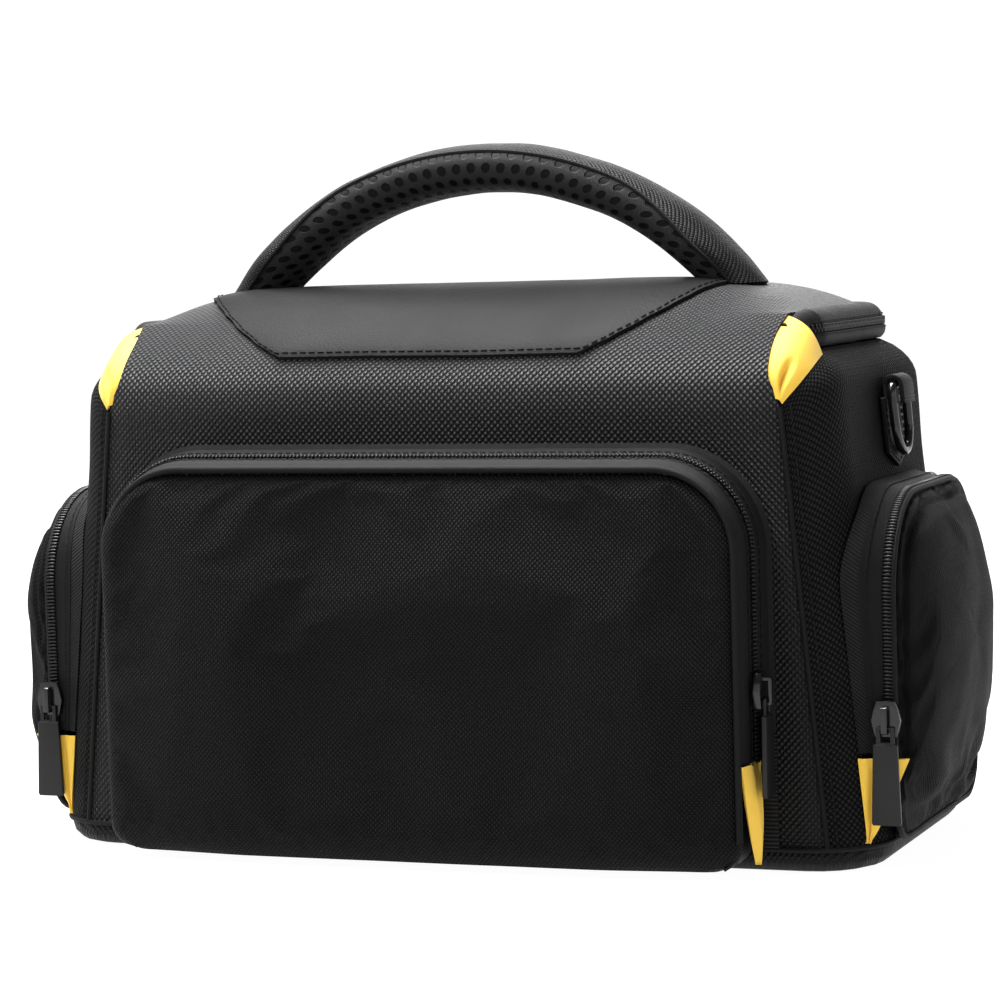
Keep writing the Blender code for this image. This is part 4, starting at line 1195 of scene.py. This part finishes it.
def build_front_panel(paints):
    """The pocket's padded front: crowned, rounded off towards its seam, tucked in at the bottom."""
    half, top = FRONT_POCKET_HALF_WIDTH - 0.0016, FRONT_POCKET_TOP - 0.0048
    radius = FRONT_POCKET_RADIUS - 0.0042
    bottom = FRONT_POCKET_BOTTOM + 0.0002

    def point_at(v, u):
        z = bottom + (top - bottom) * (1 - (1 - v) ** 1.35)
        rise = max(0.0, z - (top - radius))
        reach = half - radius + math.sqrt(max(0.0, radius**2 - rise**2))
        sink = max(0.0, bottom + PANEL_FOOT_RADIUS - z)
        reach -= PANEL_FOOT_RADIUS - math.sqrt(PANEL_FOOT_RADIUS**2 - sink**2)
        u = 2 * u - 1
        x = math.copysign(1 - (1 - abs(u)) ** 1.25, u) * reach
        edge = min(max(0.0, panel_edge_distance(x, z, half, top, radius)), reach - abs(x))
        rounding = 0.0034 * (1 - math.sqrt(1 - (1 - min(1.0, edge / 0.0060)) ** 2))
        tuck = 0.0046 * (1 - min(1.0, (z - bottom) / 0.012)) ** 2
        crown = 0.0036 * smooth(edge / 0.045)
        point = Vector((x - PANEL_LEAN, FRONT_FACE_Y + 0.0004 + rounding + tuck - crown, z))
        soft = min(1.0, edge / 0.02)
        point.y -= soft * (ripple(point, 0.055, 0.0010, 7.0) + ripple(point, 0.020, 0.00025, 8.0))
        return point

    grid = relax_cloth(make_grid(110, 121, point_at), CENTER, sewn_edges(0.06), 0.006, 0.6, 0.0030)
    piece = sheet_piece("pocket_front", grid, 0.0020, paints["fine"], CENTER)
    dress(piece, "body_nylon", "front_pocket", "front_pocket_panel")


def build_front_pocket(paints):
    build_front_panel(paints)
    strips = (  # (name, body, CAD nodes, slot, paint, rounded_strip's arguments)
        ("pocket_wall", "body", ["front_pocket_wall"], "zip_tape", "binding",
         (0.0026, 0.0004, -0.0703, -0.0790, 0.0018, 6, 0.0002)),
        ("pocket_tape_wall", "body", ["front_zip_tape_wall"], "zip_tape", "tape",
         (0.0002, 0.0, -0.0790, -0.0803, 0.0011)),
        ("pocket_tape_front", "front_pocket", ["front_zip_tape_panel"], "zip_tape", "tape",
         (-0.0002, -0.0004, -0.0808, -0.0820, 0.0011)),
        ("pocket_rim", "front_pocket", ["front_pocket_rim"], "plain_binding", "binding",
         (-0.0003, -0.0030, -0.0824, -0.0900, 0.0013, 10, 0.0007)),
        ("pocket_flange", "body", [], "plain_binding", "binding", (0.0040, 0.0022, -0.0706, -0.0716, 0.0014)),
    )
    for name, body, nodes, slot_name, paint, outline in strips:
        dress(arch_strip(name, rounded_strip(*outline), paints[paint]), slot_name, body, *nodes)

    stations = arch_path(FRONT_POCKET_BOTTOM + 0.0105)
    line = [arch_point(station, -0.0030, FRONT_FACE_Y + 0.0022) for station in stations]
    ups = [Vector((0, -1, 0))] * len(line)
    bound_edge("pocket_piping", line, ups, 0.0012, paints, "front_pocket", "front_pocket_piping", sides=10)

    for word, body, out, y in (("wall", "body", 0.0008, -0.0798), ("front", "front_pocket", 0.0006, -0.0813)):
        places = [(center, Vector((0, 1, 0)), up)
                  for center, _, up in stitch_places(*arch_line(out, y), FRONT_TOOTH_PITCH)]
        teeth = bead_piece("pocket_teeth_" + word, places, *FRONT_TOOTH, paints["teeth"])
        dress(teeth, "zip_tape", body)
    for word, body, out, y in (("wall", "body", 0.0016, -0.0762), ("rim", "front_pocket", 0.0, -0.0838)):
        sew("pocket_stitches_" + word, *arch_line(out, y), 0.0030, 0.0022, paints["thread"], body)

    half = FRONT_POCKET_HALF_WIDTH - 0.0125
    floor = make_grid(9, 41, lambda v, u: Vector((half * (2 * u - 1), -BASE_HALF_DEPTH - 0.0005 - 0.0160 * v,
                                                  FRONT_POCKET_BOTTOM + 0.0002)))
    piece = sheet_piece("pocket_floor", floor, 0.0013, paints["fine"], Vector((0, -0.08, 0.2)))
    bend(piece, "body_nylon", "body", "front_pocket", POCKET_FOLD_START, (0.0, -0.0880, 0.02),
         "front_pocket_floor")
    for word, side in SIDES:
        build_pocket_end(paints, word, side)


def build_pocket_end(paints, word, side):
    """Lower end of the front pocket: the zip tape's tail, the yellow insert and a dark liner behind it."""
    def tail_at(v, u):
        return Vector((side * (0.1126 + 0.0052 * v), -0.0712 + 0.0007 * (v - 0.5) ** 2, 0.0088 + 0.0372 * u))

    piece = sheet_piece("pocket_tape_tail_" + word, make_grid(5, 31, tail_at), 0.0011, paints["ribs"], CENTER)
    dress(piece, "zip_tape", "body")

    def insert_at(v, u):
        taper = (1 - v) ** 1.6
        rear_y, front_y = -0.0708 - 0.0080 * taper, -0.0905 + 0.0112 * taper
        bow = math.sin(math.pi * min(1.0, v * 0.9 + 0.1))
        x = FRONT_POCKET_HALF_WIDTH - 0.0012 + 0.0034 * math.sin(math.pi * u) * (0.35 + 0.65 * bow)
        x -= 0.0018 * bump_at(u, 0.45, 0.12) * smooth(v * 1.4)
        return Vector((side * x, rear_y + (front_y - rear_y) * u, 0.0048 + (GUSSET_TOP - 0.0048) * v))

    def liner_at(v, u):
        z = FRONT_POCKET_BOTTOM + 0.0008 + (GUSSET_TOP + 0.0030 - FRONT_POCKET_BOTTOM) * v
        drop = max(0.0, 1 - (z - FRONT_POCKET_BOTTOM) / PANEL_FOOT_RADIUS)
        x = FRONT_POCKET_HALF_WIDTH - 0.0042 - PANEL_FOOT_RADIUS * (1 - math.sqrt(1 - drop * drop))
        return Vector((side * x, -0.0712 - 0.0173 * u, z))

    behind, fold_end = Vector((0, -0.08, 0.02)), (0.0, -0.0890, 0.02)
    insert = sheet_piece("pocket_insert_" + word, make_grid(31, 19, insert_at), INSERT_THICKNESS,
                         paints["yellow"], behind)
    bend(insert, "yellow_nylon", "body", "front_pocket", POCKET_FOLD_START, fold_end, "front_gusset_" + word)
    liner = sheet_piece("pocket_liner_" + word, make_grid(25, 17, liner_at), INSERT_THICKNESS, paints["tape"],
                        behind)
    bend(liner, "body_nylon", "body", "front_pocket", POCKET_FOLD_START, fold_end)


# ---------------------------------------------------------------- side pockets
def pocket_outline(half, top, bottom, top_radius, bottom_radius, start_height, front_corner, count):
    """Even (y, z) points of a side pocket's outline, from its front edge over the top and round."""
    points = [(-half, start_height)]
    points += arc((-half + top_radius, top - top_radius), top_radius, 180, 90, 14)
    points += arc((half - top_radius, top - top_radius), top_radius, 90, 0, 14)
    points += arc((half - bottom_radius, bottom + bottom_radius), bottom_radius, 0, -90, 8)
    if front_corner:
        points += arc((-half + bottom_radius, bottom + bottom_radius), bottom_radius, -90, -180, 8)
    else:
        points.append((-half + bottom_radius, bottom))
    return evenly([Vector(point) for point in points], count, closed=front_corner)


def side_rim(inset, count=121):
    return pocket_outline(SIDE_POCKET_ZIP_HALF_WIDTH - inset, SIDE_POCKET_TOP - 0.0025 - inset,
                          SIDE_POCKET_BOTTOM + 0.0004 + inset, 0.032 - inset, 0.010 - inset,
                          STRIP_BOTTOM, False, count)


def side_base(inset, count=121):
    return pocket_outline(SIDE_POCKET_BASE_HALF_WIDTH - inset, SIDE_POCKET_TOP - inset,
                          SIDE_POCKET_BOTTOM + inset, 0.034 - inset, 0.012 - inset, STRIP_BOTTOM,
                          False, count)


def side_wall_line(share, inset):
    """A line round the pocket's wall, from the body (0) out to the zip (1)."""
    line = []
    for base, rim in zip(side_base(inset), side_rim(inset)):
        inner_x = min(side_surface_x(base.x, base.y) + 0.0008, SIDE_ZIP_X - 0.0006)
        low = Vector((inner_x, base.x, base.y))
        high = Vector((SIDE_ZIP_X - 0.0004, rim.x, rim.y))
        line.append(low.lerp(high, share))
    return line


SHELL_RINGS = (  # (x, half width, top, bottom)
    (0.1525, 0.0552, 0.1205, 0.0092), (0.1548, 0.0546, 0.1192, 0.0115), (0.1570, 0.0528, 0.1165, 0.0158),
    (0.1615, 0.0485, 0.1115, 0.0250), (0.1655, 0.0422, 0.1035, 0.0360), (0.1685, 0.0330, 0.0930, 0.0480),
    (0.1700, 0.0220, 0.0820, 0.0590), (0.1706, 0.0110, 0.0755, 0.0660), (0.1708, 0.0030, 0.0725, 0.0695),
)
SHELL_COUNT = 128
SIDE_POCKET_MIDDLE = Vector((0.1512, 0, 0.065))
SIDE_TEETH_END = 0.0165
SHELL_FULLNESS = {"left": 1.12, "right": 0.72}


def shell_ring(x, half, top, bottom):
    """One ring of a side pocket's shell, at a distance x from the bag's middle."""
    top_radius = min(0.032, half * 0.62, (top - bottom) * 0.45)
    bottom_radius = min(0.014, half * 0.4, (top - bottom) * 0.3)
    middle = min(STRIP_BOTTOM, bottom + (top - bottom) * 0.45)
    outline = pocket_outline(half, top, bottom, top_radius, bottom_radius,
                             max(middle, bottom + bottom_radius), True, SHELL_COUNT)
    return [Vector((x, point.x, point.y)) for point in outline]


def side_insert_at(v, u):
    """Yellow insert at a side pocket's front corner: it widens from the bottom to the zip's end."""
    front = -SIDE_POCKET_ZIP_HALF_WIDTH - 0.0046
    z = 0.0095 + (GUSSET_TOP - 0.0010 - 0.0095) * v
    near = side_surface_x(front, z) + 0.0008
    far = near + (0.1582 - near) * v ** 0.75
    y = front + 0.0026 * u - 0.0016 * math.sin(math.pi * u) * (0.3 + 0.7 * v) + 0.0014 * bump_at(u, 0.3, 0.1)
    return Vector((near + (far - near) * u, y, z))


def build_side_wall(paints, word, side, inside):
    """The pocket's fixed part: ribbed strip, plain strip, zip tape, coil and stitching."""
    rim = side_rim(0.0002)
    tape_rows = [[Vector((SIDE_ZIP_X + out, point.x, point.y)) for point in rim]
                 for out in (0.0, 0.0010, 0.0020)]
    ribbed_rows = [side_wall_line(share, 0.0) for share in (0.0, 0.12, 0.3, 0.48)]
    plain_rows = [side_wall_line(share, -0.0003) for share in (0.44, 0.6, 0.8, 1.0)]
    strips = (  # (name, rows of points, thickness, paint, slot, CAD nodes)
        ("side_ribbed_strip_", ribbed_rows, 0.0014, "ribs", "zip_tape", ["side_pocket_wall_" + word]),
        ("side_plain_strip_", plain_rows, 0.0012, "binding", "plain_binding", []),
        ("side_tape_", tape_rows, 0.0010, "tape", "zip_tape", ["side_zip_tape_" + word]),
    )
    for name, rows, thickness, paint, slot_name, nodes in strips:
        piece = sheet_piece(name + word, flip_grid(rows, side), thickness, paints[paint], inside)
        dress(piece, slot_name, "body", *nodes)

    middle = flip(SIDE_POCKET_MIDDLE, side)
    line = [flip(Vector((SIDE_ZIP_X + 0.0012, point.x, point.y)), side) for point in side_rim(-0.0006)]
    ups = [(point - middle).normalized() for point in line]
    places = [(center, Vector((1, 0, 0)), up) for center, _, up in stitch_places(line, ups, SIDE_TOOTH_PITCH)
              if center.z > SIDE_TEETH_END]
    teeth = bead_piece("side_teeth_" + word, places, *SIDE_TOOTH, paints["teeth"])
    dress(teeth, "zip_tape", "body")
    seam = [flip(point + Vector((0, math.copysign(0.0004, point.y), 0)), side)
            for point in side_wall_line(0.62, -0.0006)]
    sew("side_wall_stitches_" + word, seam, ups, 0.0030, 0.0022, paints["thread"], "body")


def build_side_pocket(paints, word, side):
    pocket = "side_pocket_" + word
    inside = Vector((side * 0.12, 0, 0.065))
    build_side_wall(paints, word, side, inside)

    base_x = SHELL_RINGS[0][0]
    rings = [shell_ring(base_x + (x - base_x) * SHELL_FULLNESS[word], half, top, bottom)
             for x, half, top, bottom in spline(SHELL_RINGS, 4)]

    def puff(v, u, point):
        seam_dip = -0.0012 * bump_at(v, 0.27, 0.025)
        free = smooth((v - 0.02) / 0.2)
        low = smooth((0.06 - point.z) / 0.05)
        folds = 0.0009 * low * math.sin(point.y * 190 + 4 * point.z * 60)
        folds *= math.sin(math.pi * min(1.0, v * 1.3))
        uneven = ripple(point, 0.030, 0.0016, 11.0 + side) + ripple(point, 0.012, 0.0004, 3.0)
        return seam_dip + free * (uneven + folds)

    grid = relax_cloth(flip_grid(rings, side), inside, lambda v, u: 1 - smooth((v - 0.04) / 0.12), 0.02, 1.2,
                       0.0030, cyclic=True)
    shell = sheet_piece("side_shell_" + word, grid, 0.0022, paints["fine_side"], inside, cyclic=True,
                        capped=True, lift=puff)
    dress(shell, "body_nylon", pocket, "side_pocket_shell_" + word)

    middle = flip(SIDE_POCKET_MIDDLE, side)
    edge = [flip(point, side) for point in shell_ring(0.1529, 0.0556, 0.1210, 0.0088)]
    bound_edge("side_shell_piping_" + word, edge, [(point - middle).normalized() for point in edge], 0.0011,
               paints, pocket, closed=True)

    insert = sheet_piece("side_insert_" + word, flip_grid(make_grid(31, 15, side_insert_at), side),
                         INSERT_THICKNESS, paints["yellow"], Vector((side * 0.15, 0, 0.03)))
    bend(insert, "yellow_nylon", "body", pocket, (side * 0.1415, -0.06, 0.02), (side * 0.1540, -0.06, 0.02),
         "side_gusset_" + word)


# ---------------------------------------------------------------- strap rings, sliders and base
def soften_edges(node, width, paint):
    """Give a CAD node a real finish and rounded edges, or none where width is 0."""
    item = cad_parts[node]
    item.data.materials.clear()
    item.data.materials.append(paint)
    for polygon in item.data.polygons:
        polygon.material_index = 0
        polygon.use_smooth = True
    weld = item.modifiers.new("weld", "WELD")
    weld.merge_threshold = 0.00001
    if width:
        bevel = item.modifiers.new("round", "BEVEL")
        bevel.width = width
        bevel.segments = 3
        bevel.limit_method = "ANGLE"
        bevel.angle_limit = math.radians(35)
        bevel.harden_normals = False
    return item


def build_hardware(paints):
    for name in ("main_slider_left", "main_slider_right", "front_slider", "side_slider_left",
                 "side_slider_right"):
        soften_edges(name, 0.00035, paints["metal"])
        soften_edges(name.replace("slider", "pull"), 0.00030, paints["pull"])
    slope = (BASE_HALF_WIDTH - HINGE_HALF_WIDTH) / HINGE_HEIGHT
    tab_outline = ((-0.0098, 0.1488), (-0.0098, 0.1322), (0.0, 0.1281), (0.0098, 0.1322), (0.0098, 0.1488))
    for word, side in SIDES:
        ring = soften_edges("d_ring_" + word, 0, paints["metal"])
        rounder = ring.modifiers.new("round", "SUBSURF")
        rounder.levels = rounder.render_levels = 2
        soften_edges("d_ring_tab_" + word, 0.0003, paints["tab"])
        line = []
        for (y0, z0), (y1, z1) in zip(tab_outline, tab_outline[1:]):
            for step in range(10):
                z = z0 + (z1 - z0) * step / 10
                x = half_width(RING_BAR_HEIGHT) + 0.0019 + slope * (RING_BAR_HEIGHT - z)
                line.append(Vector((side * x, RING_Y + y0 + (y1 - y0) * step / 10, z)))
        ups = [Vector((side, 0, 0.1))] * len(line)
        sew("d_ring_stitches_" + word, line, ups, 0.0024, 0.0018, paints["thread"], "body")


def corner_turns():
    """(x sign, y sign, angle) stations round the body's four corners, for a closed loop."""
    return [(sign_x, sign_y, start + 90 * step / 12)
            for sign_x, sign_y, start in ((1, 1, 0), (-1, 1, 90), (-1, -1, 180), (1, -1, 270))
            for step in range(13)]


def body_point(inset, height, sign_x, sign_y, angle):
    """Point of the body's outline, moved in by the inset."""
    turn, radius = math.radians(angle), CORNER_RADIUS - inset
    x = sign_x * (half_width(height) - CORNER_RADIUS) + radius * math.cos(turn)
    y = sign_y * (half_depth(height) - CORNER_RADIUS) + radius * math.sin(turn)
    return Vector((x, y, height))


def build_base(paints):
    soften_edges("base_panel", 0, paints["solid"])
    soften_edges("base_board", 0.0005, paints["board"])
    soften_edges("foam_base", 0.0008, paints["foam"])
    ring = [body_point(-0.0001, WALL_BOTTOM - 0.0002, *station) for station in corner_turns()]
    ups = [Vector((math.cos(math.radians(angle)), math.sin(math.radians(angle)), 0))
           for _, _, angle in corner_turns()]
    bound_edge("base_piping", ring, ups, 0.0009, paints, "body", closed=True)


# ---------------------------------------------------------------- interior
def build_wall_padding(paints):
    """Padded walls with a crowned, bound rim, and the padded floor between them."""
    rows, bottom = 40, LINING_BOTTOM
    sections = []
    for sign_x, sign_y, angle in corner_turns():
        turn = math.degrees(math.asin(abs(math.sin(math.radians(angle)))))
        rim = HINGE_HEIGHT if turn > 90 - SEAM_TURN else side_top(-turn, -1)
        top = (RIM_HEIGHT if sign_y > 0 else rim) - 0.0024

        def at(inset, height):
            return body_point(inset, height, sign_x, sign_y, angle)

        shares = [row / (rows - 1) for row in range(rows)]
        outer = [at(0.0022, bottom + (top - bottom) * share) for share in shares]
        inner = [at(LINING_INSET + 0.0008 * math.sin(math.pi * share) ** 0.5, bottom + (top - bottom) * share)
                 for share in shares]
        crown = [at(0.0040, top + 0.0008), at(0.0064, top + 0.0011), at(0.0088, top + 0.0008)]
        sections.append(outer + crown + inner[::-1])
    padding = loft_piece("wall_padding", sections, paints["lining"], closed=True)
    dress(padding, "lining_fabric", "body", "lining", "foam_front", "foam_rear", "foam_left", "foam_right")

    outline = [body_point(LINING_INSET - 0.0004, 0.0140, *station) for station in corner_turns()]
    shares = (0.2, 0.6, 0.97, 1.0)
    upper = [[Vector((point.x * share, point.y * share, LINING_FLOOR_TOP + 0.0004 * (1 - share)))
              for point in outline] for share in shares]
    under = [[Vector((point.x * share, point.y * share, LINING_FLOOR_BOTTOM)) for point in outline]
             for share in shares]
    floor = loft_piece("floor_lining", upper + under[::-1], paints["lining"])
    dress(floor, "lining_fabric", "body")


def build_divider(paints, name, word):
    low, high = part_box(name)
    center, half = (low + high) / 2, (high - low) / 2

    def face_at(v, u, side):
        edge = min(u, 1 - u, v, 1 - v) * 2
        thick = half.x * (0.55 + 0.42 * smooth(edge * 4))
        return Vector((center.x + side * thick, center.y + half.y * (2 * u - 1),
                       low.z + (high.z - low.z) * v))

    front = make_grid(25, 33, lambda v, u: face_at(v, u, 1))
    back = make_grid(25, 33, lambda v, u: face_at(v, u, -1))
    rings = [line + other[::-1] for line, other in zip(front, back)]
    pad = loft_piece("divider_pad_" + word, rings, paints["lining"])
    dress(pad, "lining_fabric", name, name)
    path = [Vector((center.x, center.y + (half.y - 0.0012) * (2 * step / 20 - 1), high.z - 0.0008))
            for step in range(21)]
    ups = [Vector((0, 0, 1))] * len(path)
    bound_edge("divider_binding_" + word, path, ups, 0.0030, paints, name, sides=10, flat=0.45)


def build_interior(paints):
    """Padded walls and floor, two loose padded dividers, and the lid's padding."""
    build_wall_padding(paints)
    for word in ("left", "right"):
        build_divider(paints, "divider_" + word, word)
    start, stop = share_at(height=0.1590), share_at(depth=0.0500)
    grid = make_grid(60, 61, lambda v, u: skin_point(start + (stop - start) * v, (2 * u - 1) * 0.972,
                                                     -0.0020))
    pad = sheet_piece("lid_padding", grid, 0.0066, paints["lining"], CENTER)
    dress(pad, "lining_fabric", "lid", "lid_foam", "lid_lining")


# ---------------------------------------------------------------- stage, light and camera
CAMERA_PLACE = Vector((0.4279, -1.1194, 0.2099))
CAMERA_TARGET = Vector((0.0, 0.0, 0.111))
CAMERA_ROLL = -1.641
CAMERA_LENS = 123.16
CAMERA_SHIFT = (-0.0068, 0.0124)

FLOOR_RADIUS, BACKDROP_CURVE, BACKDROP_TOP = 6.0, 1.5, 2.6
FLOOR_GLOW = 0.965  # the floor and the backdrop glow, so that they come out as white as the photograph's
WORLD_STRENGTH = 0.12
SOFT_BOXES = (  # (name, place, size, power)
    ("top_softbox", (-0.40, 0.15, 1.50), (1.0, 0.9), 100),
    ("front_softbox", (-0.75, -1.1, 1.6), (0.8, 0.8), 14),
    ("right_strip", (1.3, -0.9, 0.9), (0.3, 0.9), 2),
    ("rear_fill", (-0.4, 1.7, 0.9), (1.2, 0.9), 8),
)


def add_light(name, place, target, size, power):
    light = bpy.data.lights.new(name, "AREA")
    light.shape = "RECTANGLE"
    light.size, light.size_y = size
    light.energy = power
    item = bpy.data.objects.new(name, light)
    item.location = place
    item.rotation_euler = (Vector(target) - Vector(place)).to_track_quat("-Z", "Y").to_euler()
    bpy.context.scene.collection.objects.link(item)


def build_stage():
    """A white floor that curves up into a low white backdrop all round, and soft boxes above."""
    paint = Paint("pale_floor", 0.9, specular=0.0)
    paint.color(paint.noise(paint.object_coordinates(), 3.0), (0.16, 0.16, 0.16), (0.18, 0.18, 0.18))
    paint.shader.inputs["Emission Color"].default_value = (1.0, 1.0, 1.0, 1.0)
    paint.shader.inputs["Emission Strength"].default_value = FLOOR_GLOW
    profile = [(radius, 0.0) for radius in (0.0, 1.0, 2.0, 4.0, FLOOR_RADIUS)]
    profile += [(FLOOR_RADIUS + BACKDROP_CURVE * math.sin(math.radians(turn)),
                 BACKDROP_CURVE - BACKDROP_CURVE * math.cos(math.radians(turn)))
                for turn in range(10, 91, 10)]
    profile.append((FLOOR_RADIUS + BACKDROP_CURVE, BACKDROP_TOP))
    sides = 72
    points = [(radius * math.cos(math.tau * side / sides), radius * math.sin(math.tau * side / sides), height)
              for radius, height in profile for side in range(sides)]
    faces = [(row * sides + side, row * sides + (side + 1) % sides, (row + 1) * sides + (side + 1) % sides,
              (row + 1) * sides + side) for row in range(len(profile) - 1) for side in range(sides)]
    mesh = bpy.data.meshes.new("floor")
    mesh.from_pydata(points, [], faces)
    mesh.shade_smooth()
    mesh.materials.append(paint.material)
    floor = bpy.data.objects.new("floor", mesh)
    bpy.context.scene.collection.objects.link(floor)

    world = bpy.data.worlds.new("studio")
    world.use_nodes = True
    world.node_tree.nodes["Background"].inputs["Color"].default_value = (1.0, 1.0, 1.0, 1.0)
    world.node_tree.nodes["Background"].inputs["Strength"].default_value = WORLD_STRENGTH
    bpy.context.scene.world = world
    bpy.context.scene.view_settings.view_transform = "Standard"

    for name, place, size, power in SOFT_BOXES:
        add_light(name, place, (0, 0, 0.1), size, power)


def build_camera():
    camera = bpy.data.cameras.new("camera")
    camera.lens = CAMERA_LENS
    camera.sensor_width = 36.0
    camera.shift_x, camera.shift_y = CAMERA_SHIFT
    camera.clip_start = 0.05
    item = bpy.data.objects.new("camera", camera)
    aim = (CAMERA_TARGET - CAMERA_PLACE).to_track_quat("-Z", "Y").to_matrix().to_4x4()
    roll = Matrix.Rotation(math.radians(CAMERA_ROLL), 4, "Z")
    item.matrix_world = Matrix.Translation(CAMERA_PLACE) @ aim @ roll
    bpy.context.scene.collection.objects.link(item)
    bpy.context.scene.camera = item


def main():
    paints = make_paints()
    build_stage()
    build_camera()
    for build in (build_front_skin, build_side_skins, build_rear_skin, build_corner_seams, build_base,
                  build_roll, build_corner_inserts, build_patch, build_handle, build_front_pocket):
        build(paints)
    for word, side in SIDES:
        build_side_pocket(paints, word, side)
    build_hardware(paints)
    build_interior(paints)


main()
